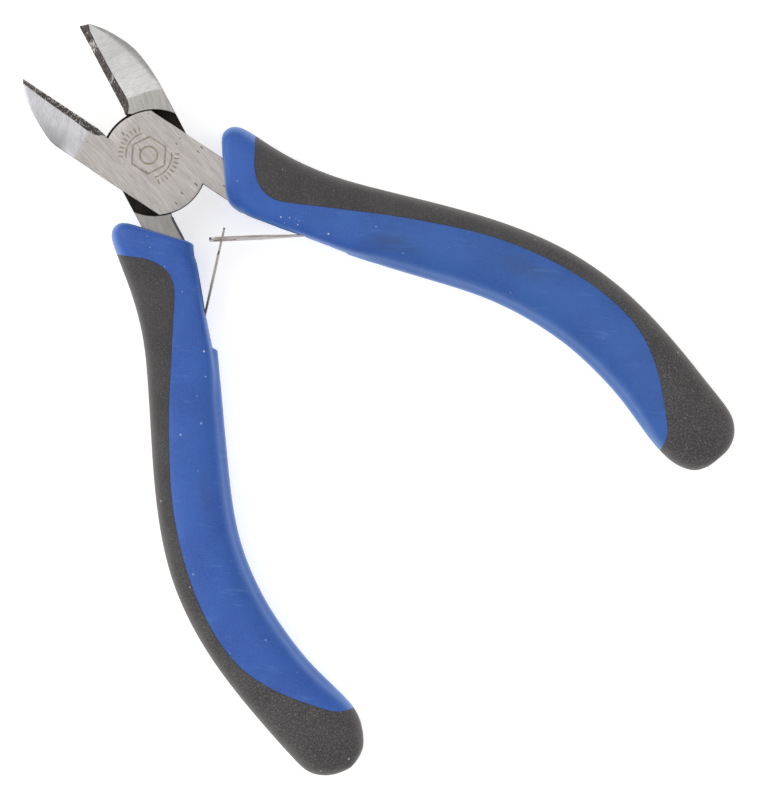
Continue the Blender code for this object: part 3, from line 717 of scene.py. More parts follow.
def strip_path(side):
    """Plan line of a whole spring from riveted to free end, and distances from the hinge."""
    hinge, knee, d, _ = root_line(side)
    free = np.array(leaf_frame()[1])
    back = unit(knee - hinge)
    a, b = knee - back * 1.5, knee + d * 1.5
    pts = [knee + d * ROOT_LAND, knee + d * 3.0]
    pts += [quadratic(a, knee, b, 1 - i / 8) for i in range(9)]
    pts.append(hinge)
    reach = 13.25 if side == "front" else 13.1
    pts += [hinge + free * x for x in (4.0, 8.0, reach)]
    pts = np.array(stretch([tuple(p) for p in pts], 0.3))
    s = chords(pts)
    return pts, s - s[int(np.argmin(np.linalg.norm(pts - hinge, axis=1)))]


def round_corners(points, r):
    """Closed outline with each corner (x, y and its own radius, if not r) rounded."""
    out = []
    for i, point in enumerate(points):
        p = np.array(point[:2], float)
        a = np.array(points[i - 1][:2], float)
        b = np.array(points[(i + 1) % len(points)][:2], float)
        radius = point[2] if len(point) > 2 else r
        if radius <= 0:
            out.append(tuple(p))
            continue
        u, v = unit(a - p), unit(b - p)
        for j in range(6):
            out.append(tuple(quadratic(p + u * radius, p, p + v * radius, j / 5)))
    return out


def make_strip(side):
    """Spring strip: the front one has a window near its free end, the back one a tongue."""
    path, s = strip_path(side)
    tan = unit_rows(np.gradient(path, axis=0))
    half = STRIP_T[side] / 2
    w = LEAF_HALF_W
    start, end = s[0] + 0.05, s[-1] - 0.02
    if side == "front":
        plan = [(start, -w), (end, -w, 1.1), (end, w, 1.1), (start, w)]
        hole = [(9.4, -1.15), (12.6, -1.15), (12.6, 1.15), (9.4, 1.15)]
        loops = [round_corners(plan, 0.8), round_corners(hole, 0.45)]
    else:
        n, neck = 0.8, 9.3         # half width of the tongue, and where it starts
        plan = [(start, -w), (neck, -w, 0.6), (neck, -n - 0.35, 0.0), (neck + 0.3, -n, 0.0),
                (end, -n, 0.35), (end, n, 0.35), (neck + 0.3, n, 0.0), (neck, n + 0.35, 0.0),
                (neck, w, 0.6), (start, w)]
        loops = [round_corners(plan, 0.8)]
    loops = [stretch(loop + [loop[0]], 0.3)[:-1] for loop in loops]
    slab = Slab(loops, [[False] * len(loop) for loop in loops], STRIP_EASE)
    fill = [(a, b) for a in np.arange(start, end, 0.35) for b in np.arange(-w + 0.3, w, 0.55)]
    twist = math.radians(3.6 if side == "front" else 1.0)

    def place(x, y, z):
        px, py = np.interp(x, s, path[:, 0]), np.interp(x, s, path[:, 1])
        tx, ty = np.interp(x, s, tan[:, 0]), np.interp(x, s, tan[:, 1])
        k = twist * smoothstep((x - 0.5) / 6.0)
        off = z * math.cos(k) - y * math.sin(k)
        up = z * math.sin(k) + y * math.cos(k)
        return (*handle_to_world(side, px - ty * off, py + tx * off), up)

    strip = slab.build(side + "_leaf_spring_strip", lambda x, y: x * 0 + half,
                       lambda x, y: x * 0 - half, place, fill, fill)
    tidy(strip, 30.0)
    return strip


def make_stud(side):
    """Domed rivet through the spring's root, its axis square to the tang's face."""
    _, knee, d, inwards = root_line(side)
    p = knee + d * (ROOT_LAND * 0.62) - inwards * 0.195
    px, py = handle_to_world(side, *p)
    sign = 1.0 if side == "front" else -1.0
    ax, ay = -inwards[0] * sign, -inwards[1]
    head_r, shank_r, lip = 1.6, 0.9, 0.41
    profile = [(head_r * math.sin(a), -lip - 0.16 - 0.42 * math.cos(a))
               for a in np.linspace(0.12, math.pi / 2, 9)]
    profile += [(head_r, -lip - 0.04), (1.56, -lip), (shank_r, -lip), (shank_r, 2.3)]
    rings = []
    for r, t in profile:
        ring = []
        for i in range(48):
            a = 2 * math.pi * i / 48
            u, v = r * math.cos(a), r * math.sin(a)
            ring.append((px + ax * t - ay * u, py + ay * t + ax * u, v))
        rings.append(ring)
    stud = loft(side + "_spring_rivet_domed", rings)
    tidy(stud, 30.0)
    return stud


# ---------------------------------------------------------------- grips
def section(half_x, half_z, square, inner, n=960):
    """Superellipse, its inward half of another squareness than its outward half."""
    a = np.linspace(0, 2 * math.pi, n, endpoint=False)
    c, s = np.cos(a), np.sin(a)
    k = 2 / np.where(c < 0, inner, square)
    return np.stack([half_x * np.sign(c) * np.abs(c) ** k,
                     half_z * np.sign(s) * np.abs(s) ** k], axis=1)


def grip_ring(side, s, station, inset, sides, ahead=None, lower=0.0):
    """Ring of a grip at place s, moved ahead along the handle and lowered if asked."""
    ox, oy, ix, iy, half, square = station
    inner = square + 2.2 * smoothstep((s - 3.2) / 1.4) * smoothstep((8.6 - s) / 1.2)
    c = np.array(((ox + ix) / 2, (oy + iy) / 2))
    a = np.array(((ox - ix) / 2, (oy - iy) / 2))
    length = np.linalg.norm(a)
    u = a / length
    if ahead is not None:
        c = c + np.array((-u[1], u[0])) * ahead
    pts = section(length - 0.02 - inset, half - 0.06 - inset - lower, square, inner)
    closed = np.vstack([pts, pts[:1]])
    run = chords(closed)
    at = np.arange(sides) * run[-1] / sides
    x = np.interp(at, run, closed[:, 0])
    z = np.interp(at, run, closed[:, 1])
    if inset < SKIN * 0.5:
        rib = smoothstep((s - RIB_FROM[side] + 0.4) / 2.0) * smoothstep((RIB_TO - s) / 1.2)
        lip = smoothstep((s - RIB_FROM[side]) / 0.10) * np.interp(s, *RIB_LIP[side])
        k = smoothstep((np.abs(z) - RIB_HALF) / 1.0)
        x = np.where(x < 0, x + (RIB_H * rib * k - lip * (1 - k))
                     * np.minimum(1.0, -x / (0.6 * length)), x)
    return [(*handle_to_world(side, *(c + u * p)), q) for p, q in zip(x, z)]


def grip_solid(side, name, inset=0.0, rings=120, sides=72):
    """The whole grip with rounded ends, or with an inset the plainer solid inside it."""
    last = len(SPAN[side]) - 1
    first, end = (0.0, float(last)) if not inset else (2.5, 19.4 - (inset - SKIN))
    at = [first + (end - first) * i / rings for i in range(rings + 1)]
    if not inset:
        at = sorted(set(at + [RIB_FROM[side] + k / 40 for k in range(5)]
                        + [last - 0.12 * k for k in range(1, 8)]
                        + [0.12 * k for k in range(1, 8)]))
        keep = [at[0]]
        for t in at[1:]:
            if t - keep[-1] > 0.012:
                keep.append(t)
        at = keep
    spans = natural_curve(SPAN[side], at)
    out = []
    if not inset:
        # ahead, inset, lowered
        for ahead, d, low in ((0.10, 1.0, 1.0), (0.10, 0.60, 0.97), (0.06, 0.28, 0.93)):
            out.append(grip_ring(side, 0.0, spans[0], d, sides, ahead, low))
    for s, row in zip(at, spans):
        lip = 0.0 if inset else 0.09 * (1 - smoothstep(s / 0.3))
        low = 0.0 if inset else 0.9 * (1 - math.sqrt(1 - max(0.0, 1 - s / 2.0) ** 2))
        out.append(grip_ring(side, s, row, inset + lip, sides, None, low))
    if not inset:
        # beyond the last station, inset
        for beyond, d in ((0.09, 0.35), (0.15, 0.8), (0.18, 1.2)):
            row = np.array(spans[-1])
            row[[1, 3]] -= beyond
            out.append(grip_ring(side, float(last), row, d, sides))
    return loft(name, out)


def outer_prism(side, shift, name):
    """Everything outside the parting line, moved outwards by shift."""
    n = 5 * (len(PARTING) - 1)
    line = natural_curve(PARTING, [i / 5 for i in range(n + 1)])
    line = line - shift * left_of(unit_rows(np.gradient(line, axis=0)))
    plan = list(line) + [(24.0, -92.0), (52.0, -92.0), (52.0, -2.0), (18.0, -2.0)]
    return prism(name, [handle_to_world(side, *p) for p in plan], -8.0, 8.0)


def pocket(side):
    """Recess in a grip's core for the spring's root and its swing."""
    h, knee, d, inwards = root_line(side)
    end = knee + d * ROOT_LAND
    f = np.array(leaf_frame()[1])
    g = np.array(rotate(f[0], f[1], -21.5))
    c = 0.42                       # clearance each side of the strip
    rear, room = 0.28, 1.175       # recess behind the root, and before it
    along = unit(knee - h)
    grip_side = -inwards
    back_n = np.array((-along[1], along[0]))
    if np.dot(back_n, grip_side) < 0:
        back_n = -back_n
    pts = [h + f * 9.0 + g * 2.0, h + g * 10.0 + back_n * 0.35, h + g * 0.2 + back_n * c,
           knee + back_n * c - along * 0.1, knee + grip_side * rear + d * 0.8,
           end + grip_side * rear + d * 0.5, end + inwards * room + d * 0.5,
           knee + inwards * room + d * 0.3, knee - along * 1.5 - back_n * c,
           h - back_n * c, h - back_n * 3.0 + f * 1.0]
    outline = [handle_to_world(side, *p) for p in pts]
    return prism("pocket", outline, -LEAF_HALF_W - 0.15, LEAF_HALF_W + 0.15)


def make_grip(side):
    skin = grip_solid(side, side + "_grip_overmould_skin")
    combine(skin, outer_prism(side, 0.0, "side"), 'INTERSECT')
    combine(skin, grip_solid(side, "core", SKIN, 60, 40), 'DIFFERENCE')
    tidy(skin, 50.0)
    core = grip_solid(side, side + "_grip_core_moulding")
    rebate = outer_prism(side, SHOT_GAP, "rebate")
    combine(rebate, grip_solid(side, "inner", SKIN + SHOT_GAP, 60, 40), 'DIFFERENCE')
    combine(core, rebate, 'DIFFERENCE')
    combine(core, loft("channel", tang_sections(side, 0.05, 0.3), True), 'DIFFERENCE')
    combine(core, pocket(side), 'DIFFERENCE')
    tidy(core, 50.0)
    return skin, core


# ---------------------------------------------------------------- material tools
class Nodes:
    """Short calls for the nodes of one tree."""

    def __init__(self, tree):
        self.tree = tree

    def put(self, socket, value):
        if isinstance(value, bpy.types.NodeSocket):
            self.tree.links.new(value, socket)
        elif isinstance(value, tuple) and socket.type == 'RGBA' and len(value) == 3:
            socket.default_value = (*value, 1.0)
        else:
            socket.default_value = value

    def node(self, kind, out, ins, **props):
        n = self.tree.nodes.new(kind)
        for k, v in props.items():
            setattr(n, k, v)
        for k, v in ins.items():
            self.put(n.inputs[k], v)
        return n.outputs[out]

    def math(self, op, a, b=0.0):
        return self.node("ShaderNodeMath", 0, {0: a, 1: b}, operation=op)

    def times(self, a, b):
        return self.math('MULTIPLY', a, b)


class Shader(Nodes):
    """A material on one Principled shader."""

    INPUTS = {"color": "Base Color", "rough": "Roughness", "metal": "Metallic",
              "normal": "Normal", "spec": "Specular IOR Level", "sheen": "Sheen Weight",
              "sheen_rough": "Sheen Roughness", "glow_color": "Emission Color",
              "glow": "Emission Strength"}

    def __init__(self, name):
        self.mat = bpy.data.materials.new(name)
        self.mat.use_nodes = True
        super().__init__(self.mat.node_tree)

    def set(self, **ins):
        for k, v in ins.items():
            self.put(self.tree.nodes["Principled BSDF"].inputs[self.INPUTS[k]], v)

    def mm(self):
        """Object coordinates in millimetres."""
        tc = self.node("ShaderNodeTexCoord", "Object", {})
        return self.node("ShaderNodeVectorMath", "Vector", {0: tc, "Scale": 1000.0},
                         operation='SCALE')

    def turn(self, vec, degrees, size=(1, 1, 1), at=(0, 0, 0)):
        """Coordinates in a frame turned about Z, with features of the given size."""
        return self.node("ShaderNodeMapping", "Vector",
                         {"Vector": vec, "Location": at, "Scale": size,
                          "Rotation": (0, 0, math.radians(degrees))}, vector_type='TEXTURE')

    def noise(self, vec, scale=1.0, detail=2.0, rough=0.5):
        return self.node("ShaderNodeTexNoise", "Fac",
                         {"Vector": vec, "Scale": scale, "Detail": detail,
                          "Roughness": rough})

    def cells(self, vec, scale=1.0, out="Distance", **props):
        return self.node("ShaderNodeTexVoronoi", out, {"Vector": vec, "Scale": scale},
                         **props)

    def linear(self, v, low, high, start=0.0, end=1.0, kind='LINEAR'):
        """From start to end while v goes from low to high."""
        return self.node("ShaderNodeMapRange", "Result",
                         {"Value": v, "From Min": low, "From Max": high, "To Min": start,
                          "To Max": end}, interpolation_type=kind)

    def smooth(self, v, low, high, start, end):
        return self.linear(v, low, high, start, end, 'SMOOTHSTEP')

    def rise(self, v, low, high, top=1.0):
        return self.smooth(v, low, high, 0.0, top)

    def fall(self, v, low, high, top=1.0):
        return self.smooth(v, low, high, top, 0.0)

    def mix(self, amount, a, b):
        return self.node("ShaderNodeMix", 2, {"Factor": amount, 6: a, 7: b},
                         data_type='RGBA')

    def bump(self, height, size_mm, strength, normal=None):
        ins = {"Height": height, "Distance": size_mm * MM, "Strength": strength}
        if normal is not None:
            ins["Normal"] = normal
        return self.node("ShaderNodeBump", "Normal", ins)

    def xyz(self, vec):
        return self.node("ShaderNodeSeparateXYZ", 0, {0: vec}).node.outputs[:]

    def length(self, vec):
        return self.node("ShaderNodeVectorMath", "Value", {0: vec}, operation='LENGTH')

    def facing(self):
        return self.node("ShaderNodeLayerWeight", "Facing", {"Blend": 0.5})

    def off(self, v, middle):
        """Distance of v from a middle value."""
        return self.math('ABSOLUTE', self.math('SUBTRACT', v, middle))

    def most(self, *values):
        out = values[0]
        for v in values[1:]:
            out = self.math('MAXIMUM', out, v)
        return out


def ring_line(sh, v, radius, width):
    return sh.fall(sh.off(v, radius), width * 0.35, width * 0.75)


def ornament(sh, mm):
    """Plain etched mark: a hexagon round a ring, between two arcs of short ticks."""
    x, y, _ = sh.xyz(sh.turn(mm, FRONT_BAR + 90.0, at=(0.05, 1.37, 0.0)))
    ax, ay = sh.math('ABSOLUTE', x), sh.math('ABSOLUTE', y)
    hexagon = sh.most(ay, sh.math('ADD', sh.times(ax, 0.866), sh.times(ay, 0.5)))
    r = sh.math('SQRT', sh.math('ADD', sh.times(x, x), sh.times(y, y)))
    a = sh.math('ARCTAN2', ay, ax)
    pitches = sh.math('DIVIDE', a, math.radians(9.0))
    ticks = sh.off(sh.math('FRACT', sh.math('ADD', pitches, 0.5)), 0.5)
    tick = sh.fall(ticks, 0.13, 0.22)
    band = sh.times(sh.rise(r, 3.62, 3.74), sh.fall(r, 4.36, 4.48))
    span = sh.fall(a, math.radians(40.0), math.radians(41.0))
    ticks = sh.times(sh.times(tick, band), span)
    arcs = sh.times(ring_line(sh, r, radius=3.3, width=0.2), span)
    mark = sh.most(ring_line(sh, hexagon, radius=2.35, width=0.24),
                   ring_line(sh, r, radius=1.25, width=0.24), ticks, arcs)
    wear = sh.smooth(sh.noise(mm, scale=1.1, detail=3.0), 0.30, 0.62, 0.55, 1.0)
    return sh.times(mark, wear)


def ground_steel(name, grain, dark, light, rough, fine=None, mark=False, pits=0.0, fade=None):
    """Steel ground along one direction, with scratches, cloudy tone and small pits.

    fine: width of the grinding lines; without it the steel is mottled. fade: a darkening laid
    over the colour, which is painted shade on the front jaw and towards the back tang."""
    sh = Shader(name)
    mm = sh.mm()
    if fine is None:
        line_size, line_rough, wide, spread, shine = (0.9, 0.24, 30.0), 0.6, 3.0, 0.16, 0.3
    else:
        line_size, line_rough, wide, spread, shine = (2.6, fine, 1.0), 0.62, 6.5, 0.12, 0.5
    fine_lines = sh.noise(sh.turn(mm, grain, line_size), detail=4.0, rough=line_rough)
    wide_lines = sh.noise(sh.turn(mm, grain, size=(wide, 0.6, 3.0), at=(3.1, 1.7, 0)))
    cloud = sh.noise(mm, scale=0.22, detail=3.0, rough=0.55)
    v = sh.math('ADD', sh.times(fine_lines, 0.62),
                sh.math('ADD', sh.times(wide_lines, 0.26), sh.times(cloud, 0.12)))
    color = sh.mix(sh.linear(v, 0.5 - spread, 0.5 + spread), dark, light)
    scratch = sh.noise(sh.turn(mm, grain + 4.0, size=(7.0, 0.07, 1.0), at=(5, 3, 1)),
                       detail=1.0)
    color = sh.mix(sh.rise(scratch, 0.64, 0.74, shine), color,
                   tuple(min(1.0, c * 1.3) for c in light))
    # the fade darkens the colour towards a deeper grey; on the front jaw and the back face this
    # is painted shade
    if fade is not None:
        color = sh.mix(fade(sh, mm), color, tuple(c * 0.55 for c in dark))
    if pits:
        flat = sh.turn(mm, grain + 3.0, size=(1.5, 0.42, 1.0), at=(0.3, 0.2, 0.0))
        pick, size, _ = sh.xyz(sh.cells(flat, 0.5, "Color", voronoi_dimensions='2D'))
        far = sh.math('SUBTRACT', sh.cells(flat, 0.5, voronoi_dimensions='2D'),
                      sh.linear(size, 0.0, 1.0, 0.03, 0.13))
        dots = sh.times(sh.rise(pick, 1.0 - pits, 1.02 - pits), sh.fall(far, -0.02, 0.02))
        color = sh.mix(sh.times(dots, 0.8), color, (0.05, 0.040, 0.036))
    roughness = sh.linear(fine_lines, 0.3, 0.7, rough - 0.05, rough + 0.09)
    if mark:
        etch = ornament(sh, mm)
        color = sh.mix(sh.times(etch, 0.78), color, (0.235, 0.180, 0.118))
        roughness = sh.math('ADD', roughness, sh.times(etch, 0.2))
    sh.set(color=color, metal=1.0, rough=roughness,
           normal=sh.bump(fine_lines, size_mm=0.010, strength=0.55))
    return sh.mat


def bar_angle(side):
    return FRONT_BAR + 90.0 if side == "front" else 90.0 - BACK_BAR


def cut_steel(side):
    """Bevel of a cutting edge, painted near black as a stand-in for the dark its steep faces
    reflect, scratched and nicked bright.
    """
    sh = Shader("cutting_bevel_" + side)
    mm = sh.mm()
    turn = bar_angle(side)
    along, across, _ = sh.xyz(sh.turn(mm, turn))
    # painted reflection: the near-black base stands in for the dark surroundings the bevel
    # reflects, and metal and spec are kept low so it doesn't reflect the bright sky
    base = sh.mix(sh.rise(sh.noise(mm, scale=1.6, detail=4.0, rough=0.6), 0.35, 0.65),
                  (0.030, 0.022, 0.020), (0.072, 0.054, 0.049))
    if side == "front":
        nick = sh.noise(sh.turn(mm, turn + 12.0, size=(0.17, 0.8, 2.4), at=(2.0, 0.3, 0.0)),
                        detail=1.5)
        lots = sh.smooth(along, 8.5, 21.0, 1.0, 0.5)
        nicks = sh.times(sh.rise(nick, 0.59, 0.65), lots)
        # ragged bright line along the edge itself
        rag = sh.noise(sh.turn(mm, turn, size=(0.30, 0.4, 2.4), at=(1.0, 4.0, 0.0)),
                       detail=1.0)
        lip = sh.fall(across, EDGE_OFF - 0.05, EDGE_OFF + 0.34)
        nicks = sh.most(nicks, sh.times(sh.rise(rag, 0.50, 0.57), lip))
    else:
        nick = sh.noise(sh.turn(mm, turn - 25.0, size=(0.62, 0.17, 1.6), at=(6.0, 1.0, 0.0)))
        # nicks gather in two places along the edge
        patch = sh.rise(sh.off(along, 19.1), 0.5, 1.1)
        spot = sh.fall(sh.off(along, 13.6), 0.2, 0.7, top=0.8)
        patch = sh.most(sh.math('SUBTRACT', 1.0, patch), spot, 0.12)
        nicks = sh.times(sh.rise(nick, 0.47, 0.56), patch)
    dots = sh.fall(sh.cells(sh.turn(mm, turn, size=(0.55, 0.42, 1.6))), 0.14, 0.24)
    some = sh.rise(sh.noise(sh.turn(mm, 0.0, size=(1.1, 1.1, 3.0)), detail=1.0), 0.46, 0.56)
    nicks = sh.most(nicks, sh.times(dots, some))
    color = sh.mix(sh.times(nicks, 0.85), base, (0.66, 0.62, 0.60))
    sh.set(color=color, metal=0.0, spec=0.05, rough=sh.linear(nicks, 0, 1, 0.60, 0.45),
           normal=sh.bump(sh.noise(mm, scale=7.0, detail=3.0), size_mm=0.012, strength=0.5))
    return sh.mat


def scale_steel(name):
    """Unground forged sides and lap faces: dark oxide with a slight oily shine."""
    sh = Shader(name)
    mm = sh.mm()
    blot = sh.noise(mm, scale=0.55, detail=4.0, rough=0.6)
    grit = sh.noise(mm, scale=5.5, detail=3.0, rough=0.6)
    color = sh.mix(sh.rise(blot, 0.38, 0.66), (0.016, 0.012, 0.010), (0.046, 0.036, 0.031))
    color = sh.mix(sh.rise(grit, 0.64, 0.76, top=0.4), color, (0.09, 0.075, 0.065))
    sh.set(color=color, metal=0.08, spec=0.12, rough=sh.linear(blot, 0.3, 0.7, 0.45, 0.62),
           normal=sh.bump(grit, size_mm=0.02, strength=0.6))
    return sh.mat


def spring_steel(name, grain, rivet=False, dark_reflection_from=None):
    """Spotted bare steel, darkened below a given y as a painted dark reflection."""
    sh = Shader(name)
    mm = sh.mm()
    lines = sh.noise(sh.turn(mm, grain, size=(3.0, 0.3, 0.12)), detail=3.0)
    spots = sh.noise(mm, scale=1.9, detail=3.0, rough=0.6)
    color = sh.mix(sh.rise(lines, 0.36, 0.64), (0.30, 0.265, 0.245), (0.47, 0.425, 0.40))
    color = sh.mix(sh.rise(spots, 0.60, 0.74, top=0.55), color, (0.10, 0.075, 0.06))
    # painted reflection: below the given y the strip is darkened to near black, standing in for
    # the dark it reflects
    if dark_reflection_from is not None:
        color = sh.mix(sh.fall(sh.xyz(mm)[1], dark_reflection_from - 5.0, dark_reflection_from, top=0.88), color,
                       (0.035, 0.030, 0.028))
    sh.set(color=color, metal=1.0, rough=sh.linear(spots, 0.3, 0.7, 0.28, 0.46),
           normal=sh.bump(spots if rivet else lines, size_mm=0.012, strength=0.5))
    return sh.mat


def dust(sh, mm, size, share, seed, **props):
    """Sparse small specks of random place and size."""
    v = sh.turn(mm, 31.0 + seed, at=(seed, seed * 2.0, seed * 0.7))
    d = sh.cells(v, 1.0 / size, **props)
    chance, breadth, _ = sh.xyz(sh.cells(v, 1.0 / size, "Color", **props))
    pick = sh.rise(chance, 1.0 - share, 1.0 - share + 0.02)
    radius = sh.linear(breadth, 0.0, 1.0, 0.05, 0.15)
    return sh.times(pick, sh.fall(sh.math('SUBTRACT', d, radius), -0.02, 0.03))


def seam(sh, mm):
    """Fine mould line round the middle of a grip."""
    z = sh.xyz(mm)[2]
    return sh.fall(sh.math('ABSOLUTE', sh.math('ADD', z, HEAD_HALF)), 0.02, 0.09)


def blue_plastic(name):
    sh = Shader(name)
    mm = sh.mm()
    x, y, z = sh.xyz(mm)
    cloud = sh.noise(mm, scale=0.16, detail=4.0, rough=0.55)
    grain = sh.noise(mm, scale=6.0, detail=3.0, rough=0.55)
    # painted highlight: faces seen at a slant are lightened towards pale blue, a rim of light
    # along the grip's rounded edges
    rim = sh.rise(sh.facing(), 0.16, 0.74)
    color = sh.mix(sh.rise(cloud, 0.34, 0.68), (0.0165, 0.070, 0.325), (0.0250, 0.098, 0.400))
    color = sh.mix(sh.linear(grain, 0.38, 0.62, 0.0, 0.6), color, (0.034, 0.124, 0.470))
    color = sh.mix(sh.times(rim, 0.60), color, (0.125, 0.275, 0.65))
    rub = sh.noise(sh.turn(mm, -48.0, size=(5.0, 0.9, 2.0), at=(4, 4, 0)), detail=4.0,
                   rough=0.6)
    color = sh.mix(sh.rise(rub, 0.57, 0.74, top=0.22), color, (0.12, 0.25, 0.55))
    dirt = sh.noise(sh.turn(mm, -50.0, size=(2.6, 0.55, 1.0), at=(9, 1, 0)), detail=3.0,
                    rough=0.65)
    color = sh.mix(sh.rise(dirt, 0.66, 0.80, top=0.35), color, (0.014, 0.035, 0.15))
    # dirty patches: place, size, angle, strength
    for at, size, angle, much in (((19.0, -31.2), (4.6, 1.7), -52.0, 0.55),
                                  ((31.3, -46.2), (5.2, 1.9), -62.0, 0.40),
                                  ((-24.8, -41.0), (4.0, 1.6), -125.0, 0.30)):
        d = sh.length(sh.turn(mm, angle, (*size, 30.0), (*at, 0.0)))
        blot = sh.times(sh.fall(d, 0.2, 1.2, much), sh.smooth(dirt, 0.36, 0.60, 0.35, 1.0))
        color = sh.mix(blot, color, (0.030, 0.060, 0.200))
    color = sh.mix(sh.rise(x, 7.0, 22.0, top=0.12), color, (0.022, 0.092, 0.030))
    # specks, denser near the head, and one group on the front grip
    near = sh.smooth(y, -42.0, -16.0, 0.25, 1.0)
    specks = sh.most(sh.times(dust(sh, mm, size=1.25, share=0.10, seed=3.0), near),
                     sh.times(dust(sh, mm, size=0.75, share=0.05, seed=7.0), 0.6))
    group = sh.length(sh.turn(mm, 0.0, size=(1.0, 1.0, 60.0), at=(8.6, -19.2, 0.0)))
    group = sh.times(sh.fall(group, 1.2, 2.6), sh.rise(z, 0.2, 0.8))
    specks = sh.most(specks, sh.times(
        dust(sh, mm, size=0.8, share=0.42, seed=11.0, voronoi_dimensions='2D'), group))
    color = sh.mix(sh.times(specks, 0.85), color, (0.62, 0.70, 0.85))
    rough = sh.math('ADD', sh.linear(grain, 0.3, 0.7, 0.38, 0.50), sh.times(specks, 0.3))
    normal = sh.bump(grain, size_mm=0.012, strength=0.35)
    normal = sh.bump(seam(sh, mm), size_mm=0.03, strength=0.6, normal=normal)
    sh.set(color=color, rough=rough, spec=0.42, normal=normal)
    return sh.mat


def black_rubber(name):
    sh = Shader(name)
    mm = sh.mm()
    cloud = sh.noise(mm, scale=0.2, detail=3.0)
    grit = sh.noise(mm, scale=4.6, detail=3.0, rough=0.7)
    fine = sh.noise(mm, scale=11.0, rough=0.6)
    # painted rim light: faces seen at a slant are lightened towards warm grey, the glow of light
    # on the rounded edges
    rim = sh.rise(sh.facing(), 0.28, 0.9)
    color = sh.mix(sh.rise(cloud, 0.35, 0.65), (0.041, 0.039, 0.041), (0.053, 0.0505, 0.0535))
    color = sh.mix(sh.times(rim, 0.6), color, (0.145, 0.130, 0.120))
    more = sh.smooth(sh.xyz(mm)[1], -78.0, -30.0, 1.0, 0.45)
    speck = sh.times(sh.rise(grit, 0.48, 0.64), more)
    color = sh.mix(sh.times(speck, 0.7), color, (0.17, 0.158, 0.150))
    color = sh.mix(sh.rise(fine, 0.54, 0.68, top=0.65), color, (0.020, 0.018, 0.019))
    specks = sh.most(dust(sh, mm, size=1.5, share=0.07, seed=1.0),
                     sh.times(dust(sh, mm, size=0.8, share=0.06, seed=5.0), 0.6))
    color = sh.mix(sh.times(specks, 0.7), color, (0.42, 0.40, 0.38))
    normal = sh.bump(grit, size_mm=0.045, strength=0.5)
    normal = sh.bump(fine, size_mm=0.02, strength=0.4, normal=normal)
    normal = sh.bump(seam(sh, mm), size_mm=0.03, strength=0.6, normal=normal)
    sh.set(color=color, rough=sh.linear(grit, 0.3, 0.7, 0.72, 0.86), spec=0.3, sheen=0.10,
           sheen_rough=0.6, normal=normal)
    return sh.mat


# ---------------------------------------------------------------- put the object together
def settle(ob):
    """From heights counted at the lap joint to the frame, whose origin is on the face."""
    for v in ob.data.vertices:
        v.co.z -= HEAD_HALF * MM
    ob.data.update()


def paint_lever(ob, side, mats):
    """Give each face of a lever its material, by its place and slope."""
    face, jaw, bevel, forged, under = range(5)
    mesh = ob.data
    mesh.materials.clear()
    for m in mats:
        mesh.materials.append(m)
    n = len(mesh.polygons)
    c, nz = np.zeros(n * 3), np.zeros(n * 3)
    mesh.polygons.foreach_get("center", c)
    mesh.polygons.foreach_get("normal", nz)
    c, nz = c.reshape(-1, 3) / MM, nz.reshape(-1, 3)[:, 2]
    x, y = world_to_head(side, c[:, 0], c[:, 1])
    z = c[:, 2]
    w = np.interp(y, BEVEL_Y, BEVEL_W[side])
    which = np.full(n, forged)
    which[nz > 0.3] = face
    which[(nz > 0.3) & (y > taper_start(side, x) + 0.02)] = jaw
    which[nz < -0.3] = under
    which[(np.abs(nz) > 0.3) & (np.abs(z) < 0.25)] = forged
    which[(y > 7.97) & (x > edge_x(side) - w - 0.001) & (nz > 0.02) & (z > EDGE_Z)] = bevel
    mesh.polygons.foreach_set("material_index", which.astype(np.int32))
    mesh.update()


def outer_painted_shade(sh, mm):
    """Painted shade: darker towards the outside of the front lever's jaw, where the ground face
    bows away from the light.
    """
    along, across, _ = sh.xyz(sh.turn(mm, bar_angle("front")))
    return sh.times(sh.rise(across, 2.2, 5.8, top=0.80),
                    sh.smooth(along, 9.5, 13.0, 0.25, 1.0))


def tang_painted_shade(sh, mm):
    """Painted shade: darker towards the back lever's tang, where the grip's collar shades it."""
    return sh.fall(sh.xyz(sh.turn(mm, bar_angle("back")))[0], -7.5, 6.0, top=0.48)


def tip_fade(sh, mm):
    """Darker towards the tip of the back lever's jaw."""
    return sh.rise(sh.xyz(sh.turn(mm, bar_angle("back")))[0], 11.0, 17.0, top=0.22)


# dark and light colour of the ground heads, and of the ground jaws
GREY = {"front": ((0.345, 0.322, 0.309), (0.560, 0.531, 0.515)),
        "back": ((0.318, 0.300, 0.286), (0.525, 0.503, 0.487))}
BRIGHT = {"front": ((0.325, 0.321, 0.337), (0.492, 0.487, 0.512)),
          "back": ((0.430, 0.425, 0.422), (0.630, 0.625, 0.622))}
scale = scale_steel("forged_scale")
# slots: upper face, jaw, bevel, forged sides, underside
lever_mats = {
    "front": [ground_steel("ground_front_face", FRONT_BAR + 75.0, *GREY["front"], rough=0.34,
                           fine=0.12, mark=True, pits=0.30),
              ground_steel("ground_front_jaw", FRONT_BAR + 24.0, *BRIGHT["front"], rough=0.30,
                           fade=outer_painted_shade),
              cut_steel("front"), scale,
              ground_steel("ground_front_back", FRONT_BAR + 90.0, *GREY["front"], rough=0.36,
                           fine=0.16)],
    "back": [ground_steel("ground_back_face", 66.0, *GREY["back"], rough=0.34, fine=0.14,
                          pits=0.15, fade=tang_painted_shade),
             ground_steel("ground_back_jaw", -BACK_BAR - 6.0, *BRIGHT["back"], rough=0.30,
                          fade=tip_fade),
             cut_steel("back"), scale,
             ground_steel("ground_back_back", 70.0, *GREY["back"], rough=0.36, fine=0.16)],
}
blue, black = blue_plastic("blue_first_shot"), black_rubber("black_second_shot")
leaf_angle = {"front": 90.0 + LEAF_ANGLE, "back": 90.0 - LEAF_ANGLE}
